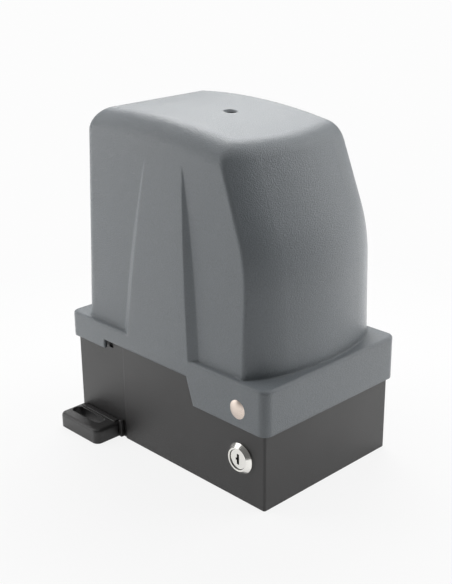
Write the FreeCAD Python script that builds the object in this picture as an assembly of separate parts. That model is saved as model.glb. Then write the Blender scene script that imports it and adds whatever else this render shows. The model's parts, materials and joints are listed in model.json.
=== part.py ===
import FreeCAD, Part
import math
import os

# Sliding gate motor: a tray-shaped base with a worm gearbox and an upright motor
# in it, and a lift-off cover that laps over the base.
# Millimetres. +X runs along the gate towards the bulging front of the cover,
# +Y points at the gate (pinion side), +Z is up. The origin is the middle of the
# base's bottom face.

Vector = FreeCAD.Vector

# ------------------------------------------------------------------ base
BASE_LENGTH = 243.0
BASE_WIDTH = 157.0
BASE_HEIGHT = 106.7
BASE_WALL = 4.0
BASE_FLOOR = 5.0
BASE_CORNER = 2.0
SIDE_STEP = 1.2             # the walls stand back this much behind the step
SIDE_STEP_X = -56.0
NOTCH_WIDTH = 5.5           # finger notch beside the cover's rear tab
NOTCH_DEPTH = 1.6
FOOT_LENGTH = 57.0
FOOT_REACH = 28.0
FOOT_THICKNESS = 14.0
FOOT_CORNER = 6.0
FOOT_EDGE = 3.0
FOOT_SLOT_LENGTH = 42.0
FOOT_SLOT_WIDTH = 11.0
FOOT_SLOT_OFFSET = 12.0     # slot centre line to base wall
FOOT_SLOT_SHIFT = 4.0       # slot middle behind the foot's middle
FLOOR_SLOT_LENGTH = 26.0    # front fixing slots through the floor
FLOOR_SLOT_WIDTH = 11.0
FLOOR_SLOT_INSET = 16.5     # slot middle to the front wall
FLOOR_SLOT_BAR_GAP = 11.5   # slot middle to the release bar
FLOOR_BOSS_MARGIN = 4.0
FLOOR_BOSS_HEIGHT = 7.0
INLET_LENGTH = 36.0         # oblong cable inlet, long across the base
INLET_WIDTH = 24.0
INLET_BOSS_MARGIN = 4.0
INLET_BOSS_HEIGHT = 3.0
INLET_GAP = 1.0             # inlet boss to the gear case
GROMMET_WALL = 3.0
GROMMET_LIP = 2.0
GROMMET_LIP_REACH = 3.0
WALL_RIB = 2.5
WALL_RIB_DEPTH = 3.0
WALL_RIB_DROP = 8.0         # rib tops below the rim
WALL_RIB_SHARES = (-0.58, 0.25, 0.51)       # places over the half length
END_RIB_SHARES = (-0.58, -0.10, 0.10, 0.58) # places over the half width
NOSE_HOLE_GAP = 0.5

# ------------------------------------------------------------------ cover
COVER_WALL = 3.0
COVER_HEIGHT = 304.0
COLLAR_CLEARANCE = 1.5      # collar inside to base wall
SEAT_GAP = 0.3              # ledge underside to base rim
COLLAR_CORNER = 8.0
COLLAR_EDGE = 2.5
COLLAR_DROP_FRONT = 40.0
COLLAR_DROP_SIDE = 15.0
COLLAR_DROP_REAR = 23.5
COLLAR_STEP_X = 38.0        # middle of the slanted step of the lower edge
COLLAR_STEP_RUN = 8.0
COLLAR_TAB_LENGTH = 49.5
LEDGE_SIDE = 4.8
LEDGE_REAR = 19.0
LEDGE_FRONT = 7.0
FRONT_BULGE = 22.5          # middle of the front ahead of its corners
FRONT_RADIUS = 210.0
FRONT_MIDDLE_HALF = 45.0    # half width of the middle arc
SIDE_DRAFT = 0.036
REAR_DRAFT = 0.018
FRONT_DRAFT = 0.032
BEND_DROP = 99.0            # bend of the front below the highest point
BEND_RADIUS = 138.0
FRONT_SLOPE = 0.407         # run over rise above the bend
TOP_ROUND = 20.0
REAR_ROUND = 11.0
FRONT_ROUND = 4.5
CROWN_RADIUS = 576.0
CROWN_X = -36.0
RIB_TOP_DROP = 32.0         # where the rib runs out, below the highest point
RIB_REAR_BOTTOM = -42.0
RIB_REAR_TOP = -22.0
RIB_FRONT_BOTTOM = 36.5
RIB_FRONT_TOP = 23.0
RIB_FLANK_REAR = 10.0       # width of the rib's slanted flank at the ledge
RIB_FLANK_FRONT = 8.5
RIB_FADE = 2.5              # exponent of the rib's depth over its height

# ------------------------------------------------------------------ cover fixings
COVER_SCREW_X = 5.0
COVER_SCREW_DIAMETER = 5.0
COVER_SCREW_HEAD = 8.6
COVER_SCREW_HEAD_HEIGHT = 3.2
COVER_HOLE_DIAMETER = 9.4
COVER_HOLE_RIM = 12.5
COVER_HOLE_DEPTH = 6.0
SCREW_BOSS_DIAMETER = 16.0
SCREW_BOSS_LENGTH = 34.5
SCREW_THREAD_DEPTH = 14.0
SCREW_REACH = 10.0          # screw in the post
SCREW_FIT = 0.3
SOCKET_SHARE = 0.45         # socket width over head diameter
SOCKET_FLOOR = 1.0
PLUG_INSET = 31.0           # plug centre behind the collar's front
PLUG_DROP = 24.4            # plug centre below the ledge
PLUG_DIAMETER = 16.5
PLUG_STEM = 8.0
PLUG_DOME = 1.6

# ------------------------------------------------------------------ gear set
SHAFT_X = -20.0
SHAFT_HEIGHT = 56.0
WORM_MODULE = 2.5
WHEEL_TEETH = 32
WHEEL_FACE = 16.0
WORM_RADIUS = 14.0          # pitch radius
WORM_THREAD_LENGTH = 46.0
WORM_THREAD_SHARE = 0.40    # thread thickness over pitch
THREAD_SINK = 0.5           # thread sunk into the worm's core
CORE_REACH = 6.0            # worm's core past the thread
WHEEL_TOOTH_SHARE = 0.42
WORM_Y = 12.0
TOOTH_CLEARANCE = 0.6
PINION_MODULE = 4.0
PINION_TEETH = 16
PINION_FACE = 28.0
PINION_GAP = 3.0            # pinion to the base wall
GEAR_GAP = 2.5              # gears to the case
CASE_WALL = 4.0
CASE_FRONT_ROOM = 9.0       # wheel to the lid
CASE_BACK_ROOM = 6.0        # wheel to the back wall
CASE_FOOT = 6.0
CASE_BOLT_INSET = 5.0
CASE_BOLT_REACH = 9.0       # front bolts beside the worm tower
CASE_PAD_RADIUS = 9.0
CASE_REAR_BOLT_INSET = 8.0  # rear bolts behind the lid face, and ahead of the back
CASE_BOLT_RADIUS = 4.0
CASE_BOLT_HEAD = 13.0
CASE_BOLT_HEAD_HEIGHT = 5.4
CASE_WASHER_RADIUS = 8.0
CASE_WASHER_THICKNESS = 1.6
LUG_RADIUS = 6.0
LUG_REACH = 3.5             # lug centres outside the wheel's room
LUG_LENGTH = 16.0
LID_SCREW_RADIUS = 2.0
LID_SCREW_DEPTH = 12.0
LID_SCREW_HEAD = 8.0
LID_SCREW_HEAD_HEIGHT = 4.0
LID_RIB_THICKNESS = 3.0
LID_RIB_HEIGHT = 5.0
WHEEL_RIM_SHARE = 0.74      # inside of the bronze rim over its pitch radius
WEB_THICKNESS = 12.0
WEB_HOLES = 6
WEB_HOLE_RADIUS = 5.0
TOOTH_SLOPE = 0.36          # flank run over rise, about 20 degrees
LID_LUG_ANGLES = (110, 155, 200, 240, 300)
LID_RIB_ANGLES = (30, 90, 132, 178, 220)
FLANGE_RADIUS = 50.0
FLANGE_THICKNESS = 6.0
FLANGE_WEB = 4.0
FLANGE_WEB_DEPTH = 14.0
FLANGE_WEB_MARGIN = 6.0
BOLT_FIT = 0.2              # radial clearance of a bolt in its hole
RUN_FIT = 0.03              # radial clearance of a running shaft
SEAT_FIT = 0.02             # radial clearance of a seated ring or pin
END_FLOAT = 0.3             # axial clearance of turning pieces

# ------------------------------------------------------------------ shafts and bearings
OUTPUT_RADIUS = 12.5
OUTPUT_INNER_RADIUS = 10.0
HUB_RADIUS = 15.0
NOSE_RADIUS = 32.0
NOSE_REACH = 1.0            # bearing nose ahead of the base wall
NOSE_BEARING_RADIUS = 26.0
NOSE_BEARING_WIDTH = 15.0
SEAL_WIDTH = 4.0
HUB_BEARING_RADIUS = 27.5
HUB_BEARING_WIDTH = 13.0
HUB_REACH = 4.0             # hub past its bearing
LID_THICKNESS = 4.0
LID_OVERLAP = 1.5           # lid past the wheel's room
LID_GAP = 0.5               # lid to the worm tower
LID_BOSS_WALL = 5.5
SHAFT_TAIL = 6.0            # shaft past the released dog
SHAFT_ROOM = 4.0            # shaft to the case's bore
ROTOR_RADIUS = 8.5
ROTOR_END_RADIUS = 6.0
ROTOR_BEARING_RADIUS = 20.0
ROTOR_BEARING_WIDTH = 12.0
LOWER_BEARING_RADIUS = 14.0
LOWER_BEARING_WIDTH = 8.0
LOWER_BEARING_GAP = 2.0     # bearing above the case's foot
TOP_BEARING_RADIUS = 16.0
TOP_BEARING_WIDTH = 10.0
SHIELD_SHARE = 0.44         # bearing shield over the ring's section
SHIELD_DEPTH = 0.6
KEY_WIDTH = 8.0
KEY_HEIGHT = 7.0
KEY_LENGTH = 24.0
CIRCLIP_DEPTH = 2.0
CIRCLIP_THICKNESS = 1.4
CIRCLIP_GAP = 4.0
CIRCLIP_INSET = 2.0         # circlip to the shaft's end
PRESSURE_ANGLE = 20.0
PINION_HUB_RADIUS = 20.0
PINION_HUB_LENGTH = 2.0
PINION_WASHER_RADIUS = 18.0
PINION_WASHER_THICKNESS = 3.0
PINION_SCREW_HEAD = 13.0
PINION_SCREW_HEIGHT = 6.0

# ------------------------------------------------------------------ motor
MOTOR_RADIUS = 42.0         # inside of the motor housing
MOTOR_WALL = 2.5
MOTOR_FIN = 3.0
MOTOR_FINS = 28
MOTOR_LENGTH = 100.0
BELL_HEIGHT = 20.0
STATOR_LENGTH = 68.0
STATOR_BORE = 25.0
AIR_GAP = 0.5
WINDING_HEIGHT = 13.0
FAN_RADIUS = 22.0
FAN_HEIGHT = 9.0
FAN_BLADES = 9
FAN_GAP = 3.0
FIN_THICKNESS = 1.8
FIN_MARGIN = 4.0            # fins end this far from the housing's ends
BLADE_THICKNESS = 1.5
BLADE_MARGIN = 1.0
FAN_HUB_WALL = 4.0
BELL_WALL = 4.0
BELL_LIP = 2.0              # metal over the upper bearing
BELL_VENT_MARGIN = 3.0
BELL_ROUND = 6.0
BELL_SLOTS = 8
BELL_HOLE_GAP = 1.0
BELL_SLOT_WIDTH = 6.0
MOTOR_BOLT_RADIUS = 2.4
MOTOR_BOLT_BOSS = 5.0
MOTOR_BOLT_REACH = 1.0      # bolt axis outside the housing
MOTOR_BOLT_HEAD = 7.0
MOTOR_BOLT_HEAD_HEIGHT = 3.0
MOTOR_LUG_HEIGHT = 8.0
WINDING_GAP = 3.0
WINDING_ROUND = 4.0
POST_RADIUS = 7.0
POST_PLATE = 2.5
POST_PLATE_REACH = 14.0

# ------------------------------------------------------------------ release
LOCK_INSET = 27.0           # key barrel behind the base's front
LOCK_HEIGHT = 39.6
BEZEL_DIAMETER = 27.0
BEZEL_HEIGHT = 4.5
BEZEL_SLOPE = 3.0
BEZEL_RIM = 1.0
LOCK_BARREL_RADIUS = 11.0
LOCK_PLUG_RADIUS = 9.0
LOCK_DEPTH = 18.0
LOCK_NUT_ACROSS = 29.0
LOCK_NUT_THICKNESS = 5.0
KEY_SLOT_HEIGHT = 9.5
KEY_SLOT_WIDTH = 2.6
KEY_SLOT_DEPTH = 8.0
KEY_WARD_HEIGHT = 2.0
CAM_RADIUS = 12.0
CAM_THICKNESS = 3.0
CAM_SQUARE = 7.0
CRANK = 8.0
CRANK_PIN = 2.5
YOKE_CLEARANCE = 0.45
YOKE_GAP = 4.0              # cam to the bar's yoke
KEY_TURN = 90.0
DOG_TRAVEL = 4.0
DOG_GAP = 0.1
DOG_RADIUS = 22.0
DOG_LENGTH = 20.0
DOG_GROOVE_RADIUS = 17.3
DOG_GROOVE_WIDTH = 5.6
DOG_TEETH = 4
DOG_TOOTH_HEIGHT = 3.3
DOG_TOOTH_ANGLE = 32.0
DOG_SLOT_ANGLE = 38.0
DOG_SLOT_OVERRUN = 0.5      # slots cut past the hub's inside and outside
FORK_CLEARANCE = 0.3
FORK_WIDTH = 6.5
FORK_ROD_RADIUS = 4.0
FORK_ROD_HEIGHT = 17.0
FORK_PIN_RADIUS = 3.0
FORK_ARM_HEIGHT = 8.0
FORK_STEM_WIDTH = 10.0
FORK_SLEEVE_WALL = 2.5
FORK_SLEEVE_HALF = 8.0
BAR_BOTTOM = 7.0
BAR_THICKNESS = 3.0
BAR_NECK = 12.0
BAR_MARGIN = 5.0            # metal left beside a slot of the bar
GUIDE_LENGTH = 8.0
GUIDE_WALL = 4.0
GUIDE_SHAFT_GAP = 46.0
GUIDE_CRANK_GAP = 27.0
SLIDE_CLEARANCE = 0.15

# ------------------------------------------------------------------ electrical
CORE_WIDTH = 56.0
CORE_HEIGHT = 66.0
COIL_MARGIN = 7.0           # coil beyond the core's faces
COIL_ROUND = 3.0
COIL_GAP = 1.5              # coil to the rear wall and to the case bolts
CORE_PLATE = 2.0
CORE_PLATE_MARGIN = 5.0
CAPACITOR_RADIUS = 16.0
CAPACITOR_HEIGHT = 84.0
CAPACITOR_ROUND = 2.0
CAPACITOR_INSET = 25.5      # axis to the rear wall's inside
CAPACITOR_GAP = 2.5         # to the transformer's plate
CAPACITOR_WALL_GAP = 5.5    # clamp to the long wall
TAG_HEIGHT = 8.0
TAG_WIDTH = 6.0
TAG_THICKNESS = 1.0
TAG_SPACING = 12.0
CLAMP_WALL = 1.5
CLAMP_WIDTH = 12.0
CLAMP_SHARE = 0.6           # clamp's place up the capacitor
CARRIER_THICKNESS = 3.0
CARRIER_HEIGHT = 112.0
CARRIER_LIFT = 2.0          # carrier above the ledge
CARRIER_GAP = 7.0           # carrier to the cover's rear
CARRIER_FRONT_REACH = 9.0   # carrier ahead of the motor's axis
CARRIER_RIM = 2.0
CARRIER_RIM_DEPTH = 3.0
CARRIER_LEG = 12.0
CARRIER_LEG_DEPTH = 6.0
CARRIER_HOOK = 10.0         # hook on the motor's flange, behind its axis
CARRIER_HOOK_GAP = 0.5
BOARD_THICKNESS = 1.6
BOARD_MARGIN = 6.0
BOARD_CORNER = 5.0
BOARD_SCREW_RADIUS = 2.0
BOARD_HEAD_RADIUS = 3.5
BOARD_HEAD_HEIGHT = 2.0
STANDOFF = 5.0
PART_CHAMFER = 0.8
RELAY_LENGTH = 19.0
RELAY_HEIGHT = 15.5
RELAY_DEPTH = 15.0
RELAYS = 3
RELAY_GAP = 5.0
RELAY_INSET = 8.0           # first relay to the board's rear edge
RELAY_LIFT = 34.0           # relays above the board's lower edge
TERMINAL_HEIGHT = 11.0
TERMINAL_DEPTH = 12.0
TERMINALS = 3
TERMINAL_GAP = 2.0
TERMINAL_LIFT = 12.0
POLES = 7                   # screw ways of one terminal block
POLE_RADIUS = 1.6
POLE_DEPTH = 6.0
POLE_INSET = 4.0            # screw ways behind the block's face
SINK_WIDTH = 26.0
SINK_HEIGHT = 28.0
SINK_BASE = 4.0
SINK_DEPTH = 15.0
SINK_FINS = 6
SINK_INSET = 8.0            # heat sink to the board's front edge
SINK_DROP = 12.0            # and to its upper edge
SINK_FIN = 1.8
FUSE_LENGTH = 26.0
FUSE_HEIGHT = 9.0
FUSE_RADIUS = 3.2
FUSE_CLIP = 4.0
FUSE_DEPTH = 9.0
FUSE_BASE = 3.0
FUSE_INSET = 10.0
FUSE_DROP = 15.0
SENSOR_WIDTH = 36.0
SENSOR_DEPTH = 8.0
SENSOR_GAP = 2.0
SENSOR_ROUND = 2.0
SENSOR_DROP = 3.0           # sensor below the rim

# ------------------------------------------------------------------ worked out
HALF_LENGTH = BASE_LENGTH / 2
HALF_WIDTH = BASE_WIDTH / 2
INNER_X = HALF_LENGTH - BASE_WALL
INNER_Y = HALF_WIDTH - BASE_WALL
LEDGE_UNDER = BASE_HEIGHT + SEAT_GAP
LEDGE = LEDGE_UNDER + COVER_WALL
COLLAR_X = HALF_LENGTH + COLLAR_CLEARANCE + COVER_WALL
COLLAR_Y = HALF_WIDTH + COLLAR_CLEARANCE + COVER_WALL
BODY_Y = COLLAR_Y - LEDGE_SIDE
BODY_REAR = -COLLAR_X + LEDGE_REAR
BODY_FRONT = COLLAR_X - LEDGE_FRONT
TAB_X = -COLLAR_X + COLLAR_TAB_LENGTH
BEND_HEIGHT = COVER_HEIGHT - BEND_DROP
RIB_TOP = COVER_HEIGHT - RIB_TOP_DROP
ROOF_AT_SCREW = COVER_HEIGHT - CROWN_RADIUS + math.sqrt(CROWN_RADIUS ** 2 - (COVER_SCREW_X - CROWN_X) ** 2)
SCREW_BOSS_BOTTOM = ROOF_AT_SCREW - SCREW_BOSS_LENGTH
PLUG_X = COLLAR_X - PLUG_INSET
PLUG_Z = LEDGE - PLUG_DROP
WHEEL_RADIUS = WORM_MODULE * WHEEL_TEETH / 2
WHEEL_TIP = WHEEL_RADIUS + WORM_MODULE
WHEEL_ROOT = WHEEL_RADIUS - WORM_MODULE - TOOTH_CLEARANCE
WORM_TIP = WORM_RADIUS + WORM_MODULE
WORM_ROOT = WORM_RADIUS - WORM_MODULE - TOOTH_CLEARANCE
WORM_PITCH = math.pi * WORM_MODULE
WORM_X = SHAFT_X + WHEEL_RADIUS + WORM_RADIUS
WHEEL_CAVITY = WHEEL_TIP + GEAR_GAP
WORM_CAVITY = WORM_TIP + GEAR_GAP
CASE_RADIUS = WHEEL_CAVITY + CASE_WALL
LID_RADIUS = WHEEL_CAVITY + LID_OVERLAP
TOWER_RADIUS = WORM_CAVITY + CASE_WALL
CASE_FRONT_Y = WORM_Y - WHEEL_FACE / 2 - CASE_FRONT_ROOM    # lid face of the gear case
CASE_BACK_Y = WORM_Y + WHEEL_FACE / 2 + CASE_BACK_ROOM      # inside of the case's back wall
RIM_RADIUS = WHEEL_RADIUS * WHEEL_RIM_SHARE
CASE_TOP = SHAFT_HEIGHT + CASE_RADIUS
CASE_END_Y = CASE_BACK_Y + CASE_WALL
NOSE_END_Y = HALF_WIDTH + NOSE_REACH
BEARING_END_Y = NOSE_END_Y - SEAL_WIDTH
NOSE_BEARING_START = BEARING_END_Y - NOSE_BEARING_WIDTH
PINION_START_Y = HALF_WIDTH + PINION_GAP
PINION_END_Y = PINION_START_Y + PINION_FACE
LID_BOSS_RADIUS = HUB_BEARING_RADIUS + LID_BOSS_WALL
HUB_BEARING_END_Y = CASE_FRONT_Y - HUB_BEARING_WIDTH
HUB_END_Y = HUB_BEARING_END_Y - HUB_REACH
DOG_FACE_Y = HUB_END_Y - DOG_GAP
DOG_END_Y = DOG_FACE_Y - DOG_LENGTH
GROOVE_Y = DOG_FACE_Y - DOG_LENGTH / 2
SHAFT_START_Y = DOG_END_Y - DOG_TRAVEL - SHAFT_TAIL
CRANK_START = math.radians(-KEY_TURN / 2)
BAR_TRAVEL = 2 * CRANK * math.sin(math.radians(KEY_TURN / 2))
LOCK_X = HALF_LENGTH - LOCK_INSET
CAM_Y = -HALF_WIDTH + LOCK_DEPTH
YOKE_Y = CAM_Y + CAM_THICKNESS + YOKE_GAP
BAR_TOP = BAR_BOTTOM + BAR_THICKNESS
CRANK_X = LOCK_X + CRANK * math.sin(CRANK_START)    # crank pin with the key at rest
CRANK_Z = LOCK_HEIGHT + CRANK * math.cos(CRANK_START)
FLANGE_TOP = CASE_TOP
FLANGE_UNDER = FLANGE_TOP - FLANGE_THICKNESS
MOTOR_TOP = FLANGE_TOP + MOTOR_LENGTH
BELL_TOP = MOTOR_TOP + BELL_HEIGHT
BELL_BEARING_START = BELL_TOP - BELL_LIP - TOP_BEARING_WIDTH
STATOR_BOTTOM = FLANGE_TOP + (MOTOR_LENGTH - STATOR_LENGTH) / 2
STATOR_TOP = STATOR_BOTTOM + STATOR_LENGTH
MOTOR_OUTSIDE = MOTOR_RADIUS + MOTOR_WALL
MOTOR_REACH = MOTOR_OUTSIDE + MOTOR_FIN
LOWER_BEARING_START = BASE_FLOOR + CASE_WALL + LOWER_BEARING_GAP
LOWER_BEARING_TOP = LOWER_BEARING_START + LOWER_BEARING_WIDTH
FLOOR_SLOT_X = INNER_X - FLOOR_SLOT_INSET
FLOOR_SLOT_Y = -YOKE_Y - BAR_NECK - FLOOR_SLOT_BAR_GAP
INLET_X = WORM_X + TOWER_RADIUS + INLET_GAP + INLET_BOSS_MARGIN + INLET_WIDTH / 2
CASE_REAR_BOLT_X = SHAFT_X - CASE_RADIUS + CASE_BOLT_INSET
COIL_REAR = -INNER_X + COIL_GAP
COIL_FRONT = CASE_REAR_BOLT_X - CASE_WASHER_RADIUS - COIL_GAP
CORE_REAR = COIL_REAR + COIL_MARGIN
CORE_FRONT = COIL_FRONT - COIL_MARGIN
CORE_BOTTOM = BASE_FLOOR + CORE_PLATE
CORE_TOP = CORE_BOTTOM + CORE_HEIGHT
CAPACITOR_X = -INNER_X + CAPACITOR_INSET
CAPACITOR_Y = INNER_Y - CAPACITOR_RADIUS - CLAMP_WALL - CAPACITOR_WALL_GAP
CORE_Y = CAPACITOR_Y - CAPACITOR_RADIUS - CAPACITOR_GAP - CORE_PLATE_MARGIN - CORE_WIDTH / 2
CARRIER_BOTTOM = LEDGE + CARRIER_LIFT
CARRIER_TOP = CARRIER_BOTTOM + CARRIER_HEIGHT
CARRIER_REAR = BODY_REAR + COVER_WALL + REAR_DRAFT * CARRIER_HEIGHT + CARRIER_GAP
CARRIER_FRONT = WORM_X + CARRIER_FRONT_REACH
BOARD_STACK = CARRIER_THICKNESS + STANDOFF + BOARD_THICKNESS + SINK_DEPTH
COVER_INSIDE_Y = BODY_Y - COVER_WALL - SIDE_DRAFT * (CARRIER_TOP - LEDGE)
CARRIER_SLACK = COVER_INSIDE_Y + WORM_Y - MOTOR_REACH - BOARD_STACK
CARRIER_Y = WORM_Y - MOTOR_REACH - CARRIER_SLACK / 2        # back of the carrier
FAR = 400.0


# ------------------------------------------------------------------ helpers
def block(x0, x1, y0, y1, z0, z1):
    return Part.makeBox(x1 - x0, y1 - y0, z1 - z0, Vector(x0, y0, z0))


def rod_x(y, z, radius, x0, x1):
    return Part.makeCylinder(radius, x1 - x0, Vector(x0, y, z), Vector(1, 0, 0))


def rod_y(x, z, radius, y0, y1):
    return Part.makeCylinder(radius, y1 - y0, Vector(x, y0, z), Vector(0, 1, 0))


def rod_z(x, y, radius, z0, z1):
    return Part.makeCylinder(radius, z1 - z0, Vector(x, y, z0), Vector(0, 0, 1))


def ring_y(x, z, outer, inner, y0, y1):
    return rod_y(x, z, outer, y0, y1).cut(rod_y(x, z, inner, y0, y1))


def ring_z(x, y, outer, inner, z0, z1):
    return rod_z(x, y, outer, z0, z1).cut(rod_z(x, y, inner, z0, z1))


def fused(shapes):
    result = shapes[0]
    if len(shapes) > 1:
        result = result.fuse(shapes[1:])
    return result.removeSplitter()


def polygon(points):
    return Part.makePolygon([Vector(*p) for p in points + points[:1]])


def prism_y(points, y0, y1):
    """Extrude an outline given as (x, z) pairs along Y."""
    face = Part.Face(polygon([(x, y0, z) for x, z in points]))
    return face.extrude(Vector(0, y1 - y0, 0))


def prism_z(points, z0, z1):
    """Extrude an outline given as (x, y) pairs along Z."""
    face = Part.Face(polygon([(x, y, z0) for x, y in points]))
    return face.extrude(Vector(0, 0, z1 - z0))


def hexagon_y(x, z, across, y0, y1):
    radius = across / math.sqrt(3)
    angles = [math.radians(60 * i) for i in range(6)]
    return prism_y([(x + radius * math.cos(a), z + radius * math.sin(a)) for a in angles], y0, y1)


def hexagon_z(x, y, across, z0, z1):
    radius = across / math.sqrt(3)
    angles = [math.radians(60 * i) for i in range(6)]
    return prism_z([(x + radius * math.cos(a), y + radius * math.sin(a)) for a in angles], z0, z1)


def square_y(x, z, across, y0, y1):
    return block(x - across / 2, x + across / 2, y0, y1, z - across / 2, z + across / 2)


def stadium_z(x0, y0, x1, y1, radius, z0, z1):
    """A slot-shaped bar from one end centre to the other."""
    run = math.hypot(x1 - x0, y1 - y0)
    side = Vector(-(y1 - y0) / run * radius, (x1 - x0) / run * radius, 0)
    ends = [Vector(x0, y0, z0), Vector(x1, y1, z0)]
    corners = [ends[0] + side, ends[1] + side, ends[1] - side, ends[0] - side]
    web = Part.Face(Part.makePolygon(corners + corners[:1])).extrude(Vector(0, 0, z1 - z0))
    return fused([web, rod_z(x0, y0, radius, z0, z1), rod_z(x1, y1, radius, z0, z1)])


def middle(edge):
    return edge.valueAt((edge.FirstParameter + edge.LastParameter) / 2)


def edges_where(shape, test):
    return [edge for edge in shape.Edges if test(edge, middle(edge))]


def is_along(edge, axis):
    ends = [vertex.Point for vertex in edge.Vertexes]
    if len(ends) < 2:
        return False
    run = ends[1] - ends[0]
    return run.Length > 0.1 and abs(run.dot(axis)) > 0.999 * run.Length


def upright(edge):
    return is_along(edge, Vector(0, 0, 1))


def mirrored_y(shape):
    return shape.mirror(Vector(0, 0, 0), Vector(0, 1, 0))


def save(name, shapes):
    """Write one node; several solids go in as one compound."""
    solids = []
    for shape in shapes if isinstance(shapes, list) else [shapes]:
        solids.extend(shape.Solids)
    for solid in solids:
        if not solid.isValid():
            print("not valid:", name)
    result = solids[0] if len(solids) == 1 else Part.makeCompound(solids)
    result.exportStep(os.path.join("parts", name + ".step"))


# ------------------------------------------------------------------ cover
def front_outline(offset):
    """Plan outline: three tangent arcs across the front, closed far behind.

    The middle arc has its centre on the X axis; each side arc runs on
    tangentially to the front corner."""
    centre_x = BODY_FRONT - FRONT_RADIUS
    join = math.asin(FRONT_MIDDLE_HALF / FRONT_RADIUS)
    join_x = centre_x + FRONT_RADIUS * math.cos(join)
    rise = BODY_Y - FRONT_MIDDLE_HALF
    drop = join_x - (BODY_FRONT - FRONT_BULGE)
    end = 2 * math.atan2(drop, rise) - join
    side_radius = rise / (math.sin(end) - math.sin(join))
    side_x = join_x - side_radius * math.cos(join)
    side_y = FRONT_MIDDLE_HALF - side_radius * math.sin(join)
    past = end + math.radians(14)

    def side_point(angle, side):
        radius = side_radius - offset
        return Vector(side_x + radius * math.cos(angle), side * (side_y + radius * math.sin(angle)), 0)

    def side_arc(side):
        points = [side_point(a, side) for a in (past, (past + join) / 2, join)]
        return Part.Arc(*points).toShape()

    nose = Vector(BODY_FRONT - offset, 0, 0)
    corners = [side_point(past, 1), side_point(past, -1)]
    back = [Vector(-FAR, corners[0].y, 0), Vector(-FAR, corners[1].y, 0)]
    edges = [
        side_arc(-1),
        Part.Arc(side_point(join, -1), nose, side_point(join, 1)).toShape(),
        side_arc(1),
        Part.LineSegment(corners[0], back[0]).toShape(),
        Part.LineSegment(back[0], back[1]).toShape(),
        Part.LineSegment(back[1], corners[1]).toShape(),
    ]
    return Part.Wire(Part.__sortEdges__(edges))


def front_prism(offset, bottom, top):
    """The plan outline carried up, over the bend and back along the slope."""
    low_tilt = math.atan(FRONT_DRAFT)
    high_tilt = math.atan(FRONT_SLOPE)
    reach = BEND_RADIUS * math.tan((high_tilt - low_tilt) / 2)

    def bend_point(tilt):
        """Point of the bend's arc where the front leans back by this angle."""
        corner = Vector(-FRONT_DRAFT * (BEND_HEIGHT - LEDGE), 0, BEND_HEIGHT)
        start = corner - Vector(-math.sin(low_tilt), 0, math.cos(low_tilt)) * reach
        centre = start - Vector(math.cos(low_tilt), 0, math.sin(low_tilt)) * BEND_RADIUS
        return centre + Vector(math.cos(tilt), 0, math.sin(tilt)) * BEND_RADIUS

    foot = Vector(FRONT_DRAFT * (LEDGE - bottom), 0, bottom)
    low = bend_point(low_tilt)
    high = bend_point(high_tilt)
    end = Vector(high.x - (top - high.z) * FRONT_SLOPE, 0, top)
    path = Part.Wire([
        Part.LineSegment(foot, low).toShape(),
        Part.Arc(low, bend_point((low_tilt + high_tilt) / 2), high).toShape(),
        Part.LineSegment(high, end).toShape(),
    ])
    outline = front_outline(offset)
    outline.translate(foot)
    sweep = Part.BRepOffsetAPI.MakePipeShell(path)
    sweep.setTrihedronMode(Vector(0, 0, 0), Vector(0, 0, 1))
    sweep.add(outline)
    sweep.build()
    sweep.makeSolid()
    return sweep.shape()


def wall_y(height):
    return BODY_Y - SIDE_DRAFT * (height - LEDGE)


def drafted_box(offset, bottom, top):
    def section(z):
        side = wall_y(z) - offset
        rear = BODY_REAR + offset + REAR_DRAFT * (z - LEDGE)
        return polygon([(rear, -side, z), (FAR, -side, z), (FAR, side, z), (rear, side, z)])
    return Part.makeLoft([section(bottom), section(top)], True, True)


def crown(offset):
    """Big cylinder across the cover; its top line is the highest of the roof."""
    drum = Part.makeCylinder(CROWN_RADIUS - offset, 2 * FAR, Vector(0, -FAR, 0), Vector(0, 1, 0))
    drum.rotate(Vector(0, 0, 0), Vector(0, 1, 0), 180)
    drum.translate(Vector(CROWN_X, 0, COVER_HEIGHT - CROWN_RADIUS))
    return drum


def fillet_all(shape, radii):
    """Round many edges at once; radii is a list of (edge number, radius)."""
    document = FreeCAD.newDocument("rounding")
    source = document.addObject("Part::Feature", "source")
    source.Shape = shape
    feature = document.addObject("Part::Fillet", "rounded")
    feature.Base = source
    feature.Edges = [(number, radius, radius) for number, radius in radii]
    document.recompute()
    result = feature.Shape.copy()
    FreeCAD.closeDocument(document.Name)
    return result


def upper_body(offset, bottom):
    """The tall body above the ledge, all rounded, offset inward from the skin."""
    top = COVER_HEIGHT + TOP_ROUND
    body = front_prism(offset, bottom, top).common(drafted_box(offset, bottom, top))
    body = body.common(crown(offset))
    roof = COVER_HEIGHT - TOP_ROUND - offset
    radii = []
    for number, edge in enumerate(body.Edges, 1):
        centre = middle(edge)
        box = edge.BoundBox
        if box.ZMin > roof:
            radii.append((number, TOP_ROUND - offset))
        elif abs(centre.y) > BODY_Y * 0.75 and box.ZLength > box.XLength and box.ZLength > 1:
            full = REAR_ROUND if centre.x < 0 else FRONT_ROUND
            radii.append((number, max(full - offset, 1.0)))
    return fillet_all(body, radii)


def collar_outline():
    """Side view of the collar's lower edge, closed above the ledge."""
    front = LEDGE - COLLAR_DROP_FRONT
    side = LEDGE - COLLAR_DROP_SIDE
    rear = LEDGE - COLLAR_DROP_REAR
    half = COLLAR_STEP_RUN / 2
    return [
        (FAR, front), (COLLAR_STEP_X + half, front), (COLLAR_STEP_X - half, side),
        (TAB_X, side), (TAB_X, rear), (-FAR, rear), (-FAR, FAR), (FAR, FAR),
    ]


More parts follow.
